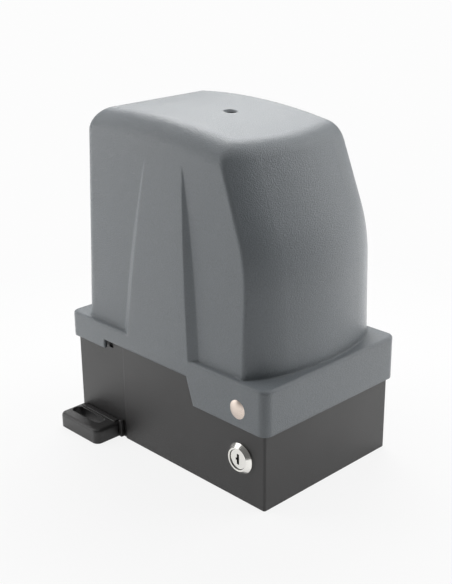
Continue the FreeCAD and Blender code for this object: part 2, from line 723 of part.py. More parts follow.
def collar():
    lowest = LEDGE - COLLAR_DROP_FRONT
    body = block(-COLLAR_X, COLLAR_X, -COLLAR_Y, COLLAR_Y, lowest, LEDGE)
    body = body.makeFillet(COLLAR_CORNER, edges_where(body, lambda e, m: upright(e)))
    rim = edges_where(body, lambda e, m: m.z > LEDGE - 0.01)
    body = body.makeFillet(COLLAR_EDGE, rim)
    return body.common(prism_y(collar_outline(), -FAR, FAR))


def rib():
    """Raised panel of side -Y: flush with the collar below, fading out above."""
    height = RIB_TOP - LEDGE
    buried = COVER_WALL * 0.6

    def section(z):
        share = (z - LEDGE) / height
        depth = LEDGE_SIDE * (1 - abs(share) ** RIB_FADE)
        rear = RIB_REAR_BOTTOM + share * (RIB_REAR_TOP - RIB_REAR_BOTTOM)
        front = RIB_FRONT_BOTTOM + share * (RIB_FRONT_TOP - RIB_FRONT_BOTTOM)
        reach = (depth + buried) / LEDGE_SIDE
        face = -wall_y(z) - depth
        inner = -wall_y(z) + buried
        return polygon([
            (rear - RIB_FLANK_REAR * reach, inner, z), (rear, face, z),
            (front, face, z), (front + RIB_FLANK_FRONT * reach, inner, z),
        ])
    steps = 6
    levels = [LEDGE + height * 1.04 * i / steps for i in range(steps + 1)]
    panel = Part.makeLoft([section(z) for z in levels], True, False)
    foot = section(LEDGE)
    foot.translate(Vector(0, 0, -COLLAR_DROP_SIDE))
    return panel.fuse(Part.Face(foot).extrude(Vector(0, 0, COLLAR_DROP_SIDE)))


def cover_shell():
    side_rib = rib()
    outer = upper_body(0, LEDGE - COLLAR_EDGE - 1).fuse([collar(), side_rib, mirrored_y(side_rib)])
    cavity = block(-COLLAR_X + COVER_WALL, COLLAR_X - COVER_WALL, -COLLAR_Y + COVER_WALL,
                   COLLAR_Y - COVER_WALL, 0, LEDGE_UNDER)
    inside_corner = COLLAR_CORNER - COVER_WALL
    cavity = cavity.makeFillet(inside_corner, edges_where(cavity, lambda e, m: upright(e)))
    shell = outer.cut(cavity).cut(upper_body(COVER_WALL, BASE_HEIGHT - COLLAR_DROP_FRONT))
    boss = rod_z(COVER_SCREW_X, 0, SCREW_BOSS_DIAMETER / 2, SCREW_BOSS_BOTTOM, ROOF_AT_SCREW - COVER_WALL / 2)
    hole = rod_z(COVER_SCREW_X, 0, COVER_HOLE_DIAMETER / 2, ROOF_AT_SCREW - COVER_HOLE_DEPTH, FAR)
    rim_depth = (COVER_HOLE_RIM - COVER_HOLE_DIAMETER) / 2
    rim = Part.makeCone(COVER_HOLE_DIAMETER / 2, COVER_HOLE_RIM / 2, rim_depth,
                        Vector(COVER_SCREW_X, 0, ROOF_AT_SCREW - rim_depth))
    rim = rim.fuse(rod_z(COVER_SCREW_X, 0, COVER_HOLE_RIM / 2, ROOF_AT_SCREW, FAR))
    shank = rod_z(COVER_SCREW_X, 0, COVER_SCREW_DIAMETER / 2 + SEAT_FIT, 0, FAR)
    plug_hole = rod_y(PLUG_X, PLUG_Z, PLUG_STEM / 2 + SEAT_FIT, -COLLAR_Y - 1, -HALF_WIDTH)
    shell = shell.fuse(boss).cut(hole).cut(rim).cut(shank).cut(plug_hole)
    return shell.removeSplitter()


def cover_screw():
    seat = ROOF_AT_SCREW - COVER_HOLE_DEPTH
    head = rod_z(COVER_SCREW_X, 0, COVER_SCREW_HEAD / 2, seat, seat + COVER_SCREW_HEAD_HEIGHT)
    socket = hexagon_z(COVER_SCREW_X, 0, COVER_SCREW_HEAD * SOCKET_SHARE, seat + SOCKET_FLOOR, FAR)
    shank = rod_z(COVER_SCREW_X, 0, COVER_SCREW_DIAMETER / 2, SCREW_BOSS_BOTTOM - SCREW_REACH, seat)
    return head.fuse(shank).cut(socket).removeSplitter()


def collar_plug():
    """Domed plug pressed into the collar beside the front corner."""
    radius = PLUG_DIAMETER / 2
    sphere_radius = (radius ** 2 + PLUG_DOME ** 2) / (2 * PLUG_DOME)
    ball = Part.makeSphere(sphere_radius, Vector(PLUG_X, -COLLAR_Y - PLUG_DOME + sphere_radius, PLUG_Z))
    dome = ball.common(rod_y(PLUG_X, PLUG_Z, radius, -COLLAR_Y - PLUG_DOME - 1, -COLLAR_Y))
    stem = rod_y(PLUG_X, PLUG_Z, PLUG_STEM / 2, -COLLAR_Y, -COLLAR_Y + COVER_WALL)
    return dome.fuse(stem).removeSplitter()


# ------------------------------------------------------------------ base
def foot(side):
    """Slotted foot at the rear, on the side with the given sign of Y."""
    x0 = -HALF_LENGTH
    x1 = x0 + FOOT_LENGTH
    reach = HALF_WIDTH + FOOT_REACH
    body = block(x0, x1, INNER_Y + 1, reach, 0, FOOT_THICKNESS)
    corners = edges_where(body, lambda e, m: upright(e) and m.y > HALF_WIDTH)
    body = body.makeFillet(FOOT_CORNER, corners)
    rim = edges_where(body, lambda e, m: m.z > FOOT_THICKNESS - 0.01 and m.y > HALF_WIDTH - 2)
    body = body.makeFillet(FOOT_EDGE, rim)
    return body if side > 0 else mirrored_y(body)


def foot_slot(side):
    centre_x = -HALF_LENGTH + FOOT_LENGTH / 2 - FOOT_SLOT_SHIFT
    half = (FOOT_SLOT_LENGTH - FOOT_SLOT_WIDTH) / 2
    y = side * (HALF_WIDTH + FOOT_SLOT_OFFSET)
    return stadium_z(centre_x - half, y, centre_x + half, y, FOOT_SLOT_WIDTH / 2, -1, FOOT_THICKNESS + 1)


def floor_slot(side, margin, bottom, top):
    """Front fixing slot, or its boss when a margin is given."""
    half = (FLOOR_SLOT_LENGTH - FLOOR_SLOT_WIDTH) / 2
    y = side * FLOOR_SLOT_Y
    radius = FLOOR_SLOT_WIDTH / 2 + margin
    return stadium_z(FLOOR_SLOT_X - half, y, FLOOR_SLOT_X + half, y, radius, bottom, top)


def inlet(margin, bottom, top):
    """The cable inlet's oblong outline, grown by a margin."""
    half = (INLET_LENGTH - INLET_WIDTH) / 2
    return stadium_z(INLET_X, -half, INLET_X, half, INLET_WIDTH / 2 + margin, bottom, top)


def wall_ribs():
    """Stiffening ribs inside the long walls and the front wall."""
    top = BASE_HEIGHT - WALL_RIB_DROP
    ribs = []
    for share in WALL_RIB_SHARES:
        x = share * HALF_LENGTH
        long_rib = block(x, x + WALL_RIB, INNER_Y - WALL_RIB_DEPTH, INNER_Y, BASE_FLOOR, top)
        ribs += [long_rib, mirrored_y(long_rib)]
    for share in END_RIB_SHARES:
        y = share * HALF_WIDTH - WALL_RIB / 2
        ribs.append(block(INNER_X - WALL_RIB_DEPTH, INNER_X, y, y + WALL_RIB, BASE_FLOOR, top))
    return ribs


def base_housing():
    body = block(-HALF_LENGTH, HALF_LENGTH, -HALF_WIDTH, HALF_WIDTH, 0, BASE_HEIGHT)
    body = body.makeFillet(BASE_CORNER, edges_where(body, lambda e, m: upright(e)))
    step = block(-FAR, SIDE_STEP_X, HALF_WIDTH - SIDE_STEP, HALF_WIDTH, -1, FAR)
    notch = block(TAB_X, TAB_X + NOTCH_WIDTH, HALF_WIDTH - SIDE_STEP - NOTCH_DEPTH, HALF_WIDTH,
                  LEDGE - COLLAR_DROP_REAR, LEDGE - COLLAR_DROP_SIDE)
    body = body.cut([step, mirrored_y(step), notch, mirrored_y(notch)])
    cavity = block(-INNER_X, INNER_X, -INNER_Y, INNER_Y, BASE_FLOOR, FAR)
    cavity = cavity.makeFillet(BASE_CORNER, edges_where(cavity, lambda e, m: upright(e)))
    body = body.fuse([foot(-1), foot(1)]).cut(cavity)
    boss_top = BASE_FLOOR + FLOOR_BOSS_HEIGHT
    inlet_top = BASE_FLOOR + INLET_BOSS_HEIGHT
    bosses = [floor_slot(side, FLOOR_BOSS_MARGIN, 0, boss_top) for side in (-1, 1)]
    bosses.append(inlet(INLET_BOSS_MARGIN, 0, inlet_top))
    body = body.fuse(bosses + wall_ribs())
    cuts = [foot_slot(-1), foot_slot(1), inlet(0, -1, inlet_top + 1)]
    cuts += [floor_slot(side, 0, -1, boss_top + 1) for side in (-1, 1)]
    cuts.append(rod_y(LOCK_X, LOCK_HEIGHT, LOCK_BARREL_RADIUS + SEAT_FIT, -HALF_WIDTH - 1, -INNER_Y + 1))
    cuts.append(rod_y(SHAFT_X, SHAFT_HEIGHT, NOSE_RADIUS + NOSE_HOLE_GAP, INNER_Y - 1, HALF_WIDTH + 1))
    return body.cut(cuts).removeSplitter()


def cable_grommet():
    """Rubber collar in the floor inlet, with a lip on the boss."""
    seat = BASE_FLOOR + INLET_BOSS_HEIGHT
    sleeve = inlet(0, GROMMET_LIP / 2, seat)
    lip = inlet(GROMMET_LIP_REACH, seat, seat + GROMMET_LIP)
    return sleeve.fuse(lip).cut(inlet(-GROMMET_WALL, -1, FAR)).removeSplitter()


# ------------------------------------------------------------------ lock and release
def lock_body():
    face = -HALF_WIDTH
    radius = BEZEL_DIAMETER / 2
    bore = LOCK_PLUG_RADIUS + RUN_FIT
    bezel = Part.makeCone(radius - BEZEL_SLOPE, radius, BEZEL_HEIGHT - BEZEL_RIM,
                          Vector(LOCK_X, face - BEZEL_HEIGHT, LOCK_HEIGHT), Vector(0, 1, 0))
    rim = rod_y(LOCK_X, LOCK_HEIGHT, radius, face - BEZEL_RIM, face)
    barrel = rod_y(LOCK_X, LOCK_HEIGHT, LOCK_BARREL_RADIUS, face, CAM_Y - 1)
    body = bezel.fuse([rim, barrel]).cut(rod_y(LOCK_X, LOCK_HEIGHT, bore, face - BEZEL_HEIGHT - 1, CAM_Y))
    return body.removeSplitter()


def lock_nut():
    start = -INNER_Y
    end = start + LOCK_NUT_THICKNESS
    nut = hexagon_y(LOCK_X, LOCK_HEIGHT, LOCK_NUT_ACROSS, start, end)
    return nut.cut(rod_y(LOCK_X, LOCK_HEIGHT, LOCK_BARREL_RADIUS + SEAT_FIT, start - 1, end + 1))


def lock_plug():
    face = -HALF_WIDTH - BEZEL_HEIGHT + BEZEL_RIM
    end = face + KEY_SLOT_DEPTH
    plug = rod_y(LOCK_X, LOCK_HEIGHT, LOCK_PLUG_RADIUS, face, CAM_Y - END_FLOAT)
    slot = block(LOCK_X - KEY_SLOT_WIDTH / 2, LOCK_X + KEY_SLOT_WIDTH / 2, face - 1, end,
                 LOCK_HEIGHT - KEY_SLOT_HEIGHT / 2, LOCK_HEIGHT + KEY_SLOT_HEIGHT / 2)
    ward = block(LOCK_X - KEY_SLOT_WIDTH, LOCK_X, face - 1, end,
                 LOCK_HEIGHT - KEY_WARD_HEIGHT / 2, LOCK_HEIGHT + KEY_WARD_HEIGHT / 2)
    tail = square_y(LOCK_X, LOCK_HEIGHT, CAM_SQUARE, CAM_Y - END_FLOAT, CAM_Y + CAM_THICKNESS)
    return plug.cut(slot).cut(ward).fuse(tail).removeSplitter()


def lock_cam():
    disc = rod_y(LOCK_X, LOCK_HEIGHT, CAM_RADIUS, CAM_Y, CAM_Y + CAM_THICKNESS)
    disc = disc.cut(square_y(LOCK_X, LOCK_HEIGHT, CAM_SQUARE + 2 * SEAT_FIT, CAM_Y - 1, YOKE_Y))
    pin = rod_y(CRANK_X, CRANK_Z, CRANK_PIN, CAM_Y + CAM_THICKNESS / 2, YOKE_Y + 2 * BAR_THICKNESS)
    return disc.fuse(pin).removeSplitter()


def release_bar():
    """Flat bar: a yoke slot for the crank pin, a slanted slot for the fork pin."""
    half = CRANK_PIN + YOKE_CLEARANCE
    side = half + BAR_MARGIN
    pin_top = LOCK_HEIGHT + CRANK + CRANK_PIN
    tab = block(CRANK_X - side, CRANK_X + side, YOKE_Y, YOKE_Y + BAR_THICKNESS, BAR_BOTTOM,
                pin_top + BAR_MARGIN)
    slot = block(CRANK_X - half, CRANK_X + half, YOKE_Y - 1, YOKE_Y + BAR_THICKNESS + 1,
                 CRANK_Z - CRANK_PIN - YOKE_CLEARANCE, pin_top + YOKE_CLEARANCE)
    reach = FORK_PIN_RADIUS + SLIDE_CLEARANCE
    rear = SHAFT_X - BAR_TRAVEL - reach - BAR_MARGIN
    front = SHAFT_X + reach + 2 * BAR_MARGIN
    neck = block(front - BAR_MARGIN, CRANK_X + side, YOKE_Y, YOKE_Y + BAR_NECK, BAR_BOTTOM, BAR_TOP)
    head = block(rear, front, YOKE_Y, GROOVE_Y + reach + BAR_MARGIN, BAR_BOTTOM, BAR_TOP)
    wedge = stadium_z(SHAFT_X, GROOVE_Y, SHAFT_X - BAR_TRAVEL, GROOVE_Y - DOG_TRAVEL, reach,
                      BAR_BOTTOM - 1, BAR_TOP + 1)
    return tab.cut(slot).fuse([neck, head]).cut(wedge).removeSplitter()


def bar_guides():
    """Two bridges on the floor that keep the bar straight."""
    guides = []
    for x in (SHAFT_X + GUIDE_SHAFT_GAP, CRANK_X - GUIDE_CRANK_GAP):
        outer = block(x - GUIDE_LENGTH / 2, x + GUIDE_LENGTH / 2, YOKE_Y - GUIDE_WALL,
                      YOKE_Y + BAR_NECK + GUIDE_WALL, BASE_FLOOR, BAR_TOP + GUIDE_WALL)
        tunnel = block(x - GUIDE_LENGTH, x + GUIDE_LENGTH, YOKE_Y - SLIDE_CLEARANCE,
                       YOKE_Y + BAR_NECK + SLIDE_CLEARANCE, BAR_BOTTOM - SLIDE_CLEARANCE,
                       BAR_TOP + SLIDE_CLEARANCE)
        guides.append(outer.cut(tunnel))
    return guides


def clutch_dog():
    tooth_end = DOG_FACE_Y + DOG_TOOTH_HEIGHT
    dog = rod_y(SHAFT_X, SHAFT_HEIGHT, DOG_RADIUS, DOG_END_Y, DOG_FACE_Y)
    groove = ring_y(SHAFT_X, SHAFT_HEIGHT, DOG_RADIUS + 1, DOG_GROOVE_RADIUS,
                    GROOVE_Y - DOG_GROOVE_WIDTH / 2, GROOVE_Y + DOG_GROOVE_WIDTH / 2)
    dog = dog.cut(groove).fuse(dog_sectors(DOG_TOOTH_ANGLE, DOG_FACE_Y, tooth_end, DOG_GAP))
    across = math.sqrt(3) * OUTPUT_INNER_RADIUS + 4 * RUN_FIT
    return dog.cut(hexagon_y(SHAFT_X, SHAFT_HEIGHT, across, DOG_END_Y - 1, tooth_end + 1)).removeSplitter()


def dog_sectors(angle, y0, y1, inset):
    """Ring sectors between the shaft and the hub's outside."""
    inner = OUTPUT_INNER_RADIUS + RUN_FIT + 2 * inset
    outer = HUB_RADIUS - inset
    ring = ring_y(SHAFT_X, SHAFT_HEIGHT, outer, inner, y0, y1)
    sectors = []
    half = math.radians(angle / 2)
    for i in range(DOG_TEETH):
        mid = 2 * math.pi * i / DOG_TEETH + math.pi / DOG_TEETH
        ends = [(SHAFT_X + 2 * outer * math.cos(mid + s * half),
                 SHAFT_HEIGHT + 2 * outer * math.sin(mid + s * half)) for s in (-1, 1)]
        wedge = prism_y([(SHAFT_X, SHAFT_HEIGHT)] + ends, y0, y1)
        sectors.append(ring.common(wedge))
    return sectors


def release_fork():
    """U-shaped fork in the dog's groove, with a sleeve on the guide rod."""
    inner = DOG_GROOVE_RADIUS + FORK_CLEARANCE
    outer = inner + FORK_WIDTH
    half = DOG_GROOVE_WIDTH / 2 - FORK_CLEARANCE
    y0 = GROOVE_Y - half
    y1 = GROOVE_Y + half
    ring = ring_y(SHAFT_X, SHAFT_HEIGHT, outer, inner, y0, y1)
    ring = ring.cut(block(-FAR, FAR, y0 - 1, y1 + 1, SHAFT_HEIGHT, FAR))
    arms = [block(SHAFT_X + a, SHAFT_X + b, y0, y1, SHAFT_HEIGHT, SHAFT_HEIGHT + FORK_ARM_HEIGHT)
            for a, b in ((-outer, -inner), (inner, outer))]
    stem = block(SHAFT_X - FORK_STEM_WIDTH / 2, SHAFT_X + FORK_STEM_WIDTH / 2, y0, y1,
                 FORK_ROD_HEIGHT, SHAFT_HEIGHT - inner - 1)
    sleeve = rod_y(SHAFT_X, FORK_ROD_HEIGHT, FORK_ROD_RADIUS + FORK_SLEEVE_WALL,
                   GROOVE_Y - FORK_SLEEVE_HALF, GROOVE_Y + FORK_SLEEVE_HALF)
    pin = rod_z(SHAFT_X, GROOVE_Y, FORK_PIN_RADIUS, BAR_BOTTOM + END_FLOAT, FORK_ROD_HEIGHT)
    bore = rod_y(SHAFT_X, FORK_ROD_HEIGHT, FORK_ROD_RADIUS + RUN_FIT, -HALF_WIDTH, HALF_WIDTH)
    return fused([ring, stem, sleeve, pin] + arms).cut(bore)


def fork_rod():
    start = GROOVE_Y - FORK_SLEEVE_HALF - DOG_TRAVEL - SHAFT_TAIL
    return rod_y(SHAFT_X, FORK_ROD_HEIGHT, FORK_ROD_RADIUS, start, CASE_FRONT_Y - LID_THICKNESS)


# ------------------------------------------------------------------ gears
def gear_outline(teeth, pitch_radius, root, tip, share):
    """Closed outline of straight-flanked teeth; the first tooth is centred on +X."""
    points = []
    step = 2 * math.pi / teeth
    half = share * step / 2
    slope = TOOTH_SLOPE / pitch_radius
    for i in range(teeth):
        for radius, side in ((root, -1), (tip, -1), (tip, 1), (root, 1)):
            width = half - slope * (radius - pitch_radius)
            angle = i * step + side * width
            points.append((radius * math.cos(angle), radius * math.sin(angle)))
    return points


def worm_wheel():
    """Toothed bronze ring; the teeth lean at the worm's lead angle."""
    lean = WORM_PITCH / (2 * math.pi * WORM_RADIUS) * WHEEL_FACE / WHEEL_RADIUS
    outline = gear_outline(WHEEL_TEETH, WHEEL_RADIUS, WHEEL_ROOT, WHEEL_TIP, WHEEL_TOOTH_SHARE)
    half_step = math.pi / WHEEL_TEETH
    sections = []
    for y, turn in ((-WHEEL_FACE / 2, lean / 2), (WHEEL_FACE / 2, -lean / 2)):
        angle = half_step + turn
        turned = [(x * math.cos(angle) - z * math.sin(angle), x * math.sin(angle) + z * math.cos(angle))
                  for x, z in outline]
        sections.append(polygon([(SHAFT_X + x, WORM_Y + y, SHAFT_HEIGHT + z) for x, z in turned]))
    ring = Part.makeLoft(sections, True, True)
    return ring.cut(rod_y(SHAFT_X, SHAFT_HEIGHT, RIM_RADIUS, -HALF_WIDTH, HALF_WIDTH))


def wheel_hub():
    web = rod_y(SHAFT_X, SHAFT_HEIGHT, RIM_RADIUS, WORM_Y - WEB_THICKNESS / 2, WORM_Y + WEB_THICKNESS / 2)
    reach = (RIM_RADIUS + HUB_RADIUS) / 2
    for i in range(WEB_HOLES):
        angle = 2 * math.pi * i / WEB_HOLES
        web = web.cut(rod_y(SHAFT_X + reach * math.cos(angle), SHAFT_HEIGHT + reach * math.sin(angle),
                            WEB_HOLE_RADIUS, -HALF_WIDTH, HALF_WIDTH))
    sleeve = rod_y(SHAFT_X, SHAFT_HEIGHT, HUB_RADIUS, HUB_END_Y, CASE_BACK_Y - END_FLOAT)
    bore = rod_y(SHAFT_X, SHAFT_HEIGHT, OUTPUT_INNER_RADIUS + RUN_FIT, HUB_END_Y - 1, CASE_BACK_Y + 1)
    hub = web.fuse(sleeve).cut(bore)
    slot_end = HUB_END_Y + DOG_TOOTH_HEIGHT + END_FLOAT
    slots = dog_sectors(DOG_SLOT_ANGLE, HUB_END_Y - 1, slot_end, -DOG_SLOT_OVERRUN)
    return hub.cut(Part.makeCompound(slots)).removeSplitter()


def worm_thread():
    """One-start right-hand thread, centred on the wheel's height at the wheel side."""
    turns = round(WORM_THREAD_LENGTH / WORM_PITCH)
    start = SHAFT_HEIGHT - ((turns + 1) // 2 - turns % 2 + 0.5) * WORM_PITCH
    helix = Part.makeHelix(WORM_PITCH, turns * WORM_PITCH, WORM_RADIUS)
    inner = WORM_ROOT - THREAD_SINK
    crest = WORM_THREAD_SHARE * WORM_PITCH / 2
    tip = crest - TOOTH_SLOPE * WORM_MODULE
    root = crest + TOOTH_SLOPE * (WORM_RADIUS - inner)
    profile = polygon([(inner, 0, -root), (WORM_TIP, 0, -tip), (WORM_TIP, 0, tip), (inner, 0, root)])
    sweep = Part.BRepOffsetAPI.MakePipeShell(helix)
    sweep.setFrenetMode(True)
    sweep.add(profile)
    sweep.build()
    sweep.makeSolid()
    thread = sweep.shape()
    thread.translate(Vector(WORM_X, WORM_Y, start))
    return thread


def worm_shaft():
    half = WORM_THREAD_LENGTH / 2 + CORE_REACH
    core = rod_z(WORM_X, WORM_Y, WORM_ROOT, SHAFT_HEIGHT - half, SHAFT_HEIGHT + half)
    low = rod_z(WORM_X, WORM_Y, ROTOR_END_RADIUS, LOWER_BEARING_START + END_FLOAT, SHAFT_HEIGHT)
    upper = rod_z(WORM_X, WORM_Y, ROTOR_RADIUS, SHAFT_HEIGHT, MOTOR_TOP)
    neck = rod_z(WORM_X, WORM_Y, ROTOR_END_RADIUS, MOTOR_TOP, BELL_TOP + FAN_GAP + FAN_HEIGHT)
    return core.fuse([worm_thread(), low, upper, neck]).removeSplitter()


# ------------------------------------------------------------------ gear case
def case_feet():
    """Centres of the four holding-down bolts: two at the rear, two beside the tower."""
    rear = [(CASE_REAR_BOLT_X, CASE_FRONT_Y + CASE_REAR_BOLT_INSET),
            (CASE_REAR_BOLT_X, CASE_END_Y - CASE_REAR_BOLT_INSET)]
    reach = TOWER_RADIUS + CASE_BOLT_REACH
    return rear + [(WORM_X, WORM_Y - reach), (WORM_X, WORM_Y + reach)]


def lid_lugs():
    """Centres (x, z) of the lid's screw lugs; none towards the worm tower."""
    reach = WHEEL_CAVITY + LUG_REACH
    angles = [math.radians(degrees) for degrees in LID_LUG_ANGLES]
    return [(SHAFT_X + reach * math.cos(a), SHAFT_HEIGHT + reach * math.sin(a)) for a in angles]


def case_base():
    """Pads under the four bolts, joined by a long plate and a cross plate."""
    top = BASE_FLOOR + CASE_FOOT
    reach = TOWER_RADIUS + CASE_BOLT_REACH
    pads = [rod_z(x, y, CASE_PAD_RADIUS, BASE_FLOOR, top) for x, y in case_feet()]
    along = block(CASE_REAR_BOLT_X, WORM_X, CASE_FRONT_Y, CASE_END_Y, BASE_FLOOR, top)
    across = block(WORM_X - CASE_PAD_RADIUS, WORM_X + CASE_PAD_RADIUS, WORM_Y - reach, WORM_Y + reach,
                   BASE_FLOOR, top)
    return pads + [along, across]


def flange_webs():
    """Two crossed webs under the motor's flange."""
    reach = FLANGE_RADIUS - FLANGE_WEB_MARGIN
    half = FLANGE_WEB / 2
    low = FLANGE_UNDER - FLANGE_WEB_DEPTH
    return [block(WORM_X - reach, WORM_X + reach, WORM_Y - half, WORM_Y + half, low, FLANGE_UNDER),
            block(WORM_X - half, WORM_X + half, WORM_Y - reach, WORM_Y + reach, low, FLANGE_UNDER)]


def case_rooms():
    """What is hollow in the gear case: gear rooms and bearing seats."""
    high = FLANGE_TOP - ROTOR_BEARING_WIDTH
    return [
        rod_y(SHAFT_X, SHAFT_HEIGHT, LID_RADIUS + LID_GAP, -HALF_WIDTH, CASE_FRONT_Y),
        rod_y(SHAFT_X, SHAFT_HEIGHT, WHEEL_CAVITY, CASE_FRONT_Y - 1, CASE_BACK_Y),
        rod_z(WORM_X, WORM_Y, WORM_CAVITY, LOWER_BEARING_TOP, high),
        rod_z(WORM_X, WORM_Y, LOWER_BEARING_RADIUS + SEAT_FIT, LOWER_BEARING_START, LOWER_BEARING_TOP + 1),
        rod_z(WORM_X, WORM_Y, ROTOR_BEARING_RADIUS + SEAT_FIT, high, FAR),
        rod_y(SHAFT_X, SHAFT_HEIGHT, OUTPUT_RADIUS + SHAFT_ROOM, CASE_FRONT_Y, NOSE_BEARING_START + 1),
        rod_y(SHAFT_X, SHAFT_HEIGHT, NOSE_BEARING_RADIUS + SEAT_FIT, NOSE_BEARING_START, NOSE_END_Y + 1),
    ]


def gear_case():
    drum = rod_y(SHAFT_X, SHAFT_HEIGHT, CASE_RADIUS, CASE_FRONT_Y, CASE_END_Y)
    tower = rod_z(WORM_X, WORM_Y, TOWER_RADIUS, BASE_FLOOR, FLANGE_TOP)
    link = block(SHAFT_X, WORM_X, CASE_FRONT_Y + CASE_WALL, CASE_END_Y, BASE_FLOOR, FLANGE_UNDER)
    flange = rod_z(WORM_X, WORM_Y, FLANGE_RADIUS, FLANGE_UNDER, FLANGE_TOP)
    nose = rod_y(SHAFT_X, SHAFT_HEIGHT, NOSE_RADIUS, CASE_BACK_Y, NOSE_END_Y)
    lugs = [rod_y(x, z, LUG_RADIUS, CASE_FRONT_Y, CASE_FRONT_Y + LUG_LENGTH) for x, z in lid_lugs()]
    body = fused([drum, tower, link, flange, nose] + case_base() + flange_webs() + lugs)
    body = body.cut(block(-FAR, FAR, -FAR, FAR, -FAR, BASE_FLOOR))
    for room in case_rooms():
        body = body.cut(room)
    for x, y in case_feet():
        body = body.cut(rod_z(x, y, CASE_BOLT_RADIUS + BOLT_FIT, 0, BASE_FLOOR + CASE_FOOT + 1))
    for x, z in lid_lugs():
        body = body.cut(rod_y(x, z, LID_SCREW_RADIUS, CASE_FRONT_Y - 1, CASE_FRONT_Y + LID_SCREW_DEPTH))
    for x, y in motor_bolt_places():
        body = body.cut(rod_z(x, y, MOTOR_BOLT_RADIUS + BOLT_FIT, FLANGE_UNDER - 1, FLANGE_TOP + 1))
    return body.removeSplitter()


def gear_case_lid():
    face = CASE_FRONT_Y - LID_THICKNESS
    end = HUB_BEARING_END_Y - SHIELD_DEPTH
    disc = rod_y(SHAFT_X, SHAFT_HEIGHT, LID_RADIUS, face, CASE_FRONT_Y)
    lugs = [rod_y(x, z, LUG_RADIUS, face, CASE_FRONT_Y) for x, z in lid_lugs()]
    boss = rod_y(SHAFT_X, SHAFT_HEIGHT, LID_BOSS_RADIUS, end, CASE_FRONT_Y)
    ribs = []
    for angle in LID_RIB_ANGLES:
        bar = block(SHAFT_X, SHAFT_X + WHEEL_CAVITY, face - LID_RIB_HEIGHT, face,
                    SHAFT_HEIGHT - LID_RIB_THICKNESS / 2, SHAFT_HEIGHT + LID_RIB_THICKNESS / 2)
        bar.rotate(Vector(SHAFT_X, 0, SHAFT_HEIGHT), Vector(0, 1, 0), -angle)
        ribs.append(bar)
    lid = fused([disc, boss] + lugs + ribs)
    lid = lid.cut(rod_y(SHAFT_X, SHAFT_HEIGHT, HUB_BEARING_RADIUS + SEAT_FIT, HUB_BEARING_END_Y, HALF_WIDTH))
    lid = lid.cut(rod_y(SHAFT_X, SHAFT_HEIGHT, DOG_RADIUS + 1, end - 1, CASE_FRONT_Y))
    for x, z in lid_lugs():
        lid = lid.cut(rod_y(x, z, LID_SCREW_RADIUS + BOLT_FIT, face - 1, CASE_FRONT_Y + 1))
    return lid.removeSplitter()


def lid_screws():
    face = CASE_FRONT_Y - LID_THICKNESS
    screws = []
    for x, z in lid_lugs():
        head = hexagon_y(x, z, LID_SCREW_HEAD, face - LID_SCREW_HEAD_HEIGHT, face)
        shank = rod_y(x, z, LID_SCREW_RADIUS, face, CASE_FRONT_Y + LID_SCREW_DEPTH)
        screws.append(head.fuse(shank).removeSplitter())
    return screws


def case_bolts():
    seat = BASE_FLOOR + CASE_FOOT
    under_head = seat + CASE_WASHER_THICKNESS
    bolts = []
    for x, y in case_feet():
        washer = rod_z(x, y, CASE_WASHER_RADIUS, seat, under_head)
        head = hexagon_z(x, y, CASE_BOLT_HEAD, under_head, under_head + CASE_BOLT_HEAD_HEIGHT)
        bolts.append(fused([washer, head, rod_z(x, y, CASE_BOLT_RADIUS, BASE_FLOOR, seat)]))
    return bolts


def bearing(axis_ring, outer, inner, start, width):
    """Ball bearing as one turned ring with a shield groove in both faces."""
    body = axis_ring(outer, inner + RUN_FIT, start, start + width)
    mid = (outer + inner) / 2
    half = (outer - inner) * SHIELD_SHARE / 2
    low = axis_ring(mid + half, mid - half, start - 1, start + SHIELD_DEPTH)
    high = axis_ring(mid + half, mid - half, start + width - SHIELD_DEPTH, start + width + 1)
    return body.cut([low, high])


def bearing_y(outer, inner, start, width):
    return bearing(lambda ro, ri, a, b: ring_y(SHAFT_X, SHAFT_HEIGHT, ro, ri, a, b),
                   outer, inner, start, width)


def bearing_z(outer, inner, start, width):
    return bearing(lambda ro, ri, a, b: ring_z(WORM_X, WORM_Y, ro, ri, a, b),
                   outer, inner, start, width)


# ------------------------------------------------------------------ output shaft
def output_shaft():
    hex_end = DOG_FACE_Y + DOG_TOOTH_HEIGHT + 1
    across = math.sqrt(3) * OUTPUT_INNER_RADIUS
    hexed = hexagon_y(SHAFT_X, SHAFT_HEIGHT, across, SHAFT_START_Y, hex_end)
    inner = rod_y(SHAFT_X, SHAFT_HEIGHT, OUTPUT_INNER_RADIUS, hex_end, CASE_BACK_Y)
    outer = rod_y(SHAFT_X, SHAFT_HEIGHT, OUTPUT_RADIUS, CASE_BACK_Y, PINION_END_Y)
    return fused([hexed, inner, outer]).cut([circlip_ring(OUTPUT_RADIUS), key_block()])


def key_block():
    start = (PINION_START_Y + PINION_END_Y - KEY_LENGTH) / 2
    low = SHAFT_HEIGHT + OUTPUT_RADIUS - KEY_HEIGHT / 2
    return block(SHAFT_X - KEY_WIDTH / 2, SHAFT_X + KEY_WIDTH / 2, start, start + KEY_LENGTH,
                 low, low + KEY_HEIGHT)


def circlip_ring(outer):
    start = SHAFT_START_Y + CIRCLIP_INSET
    return ring_y(SHAFT_X, SHAFT_HEIGHT, outer, OUTPUT_INNER_RADIUS - CIRCLIP_DEPTH, start,
                  start + CIRCLIP_THICKNESS)


def circlip():
    gap = block(SHAFT_X - CIRCLIP_GAP / 2, SHAFT_X + CIRCLIP_GAP / 2, -FAR, FAR, SHAFT_HEIGHT, FAR)
    return circlip_ring(OUTPUT_INNER_RADIUS + CIRCLIP_DEPTH).cut(gap)


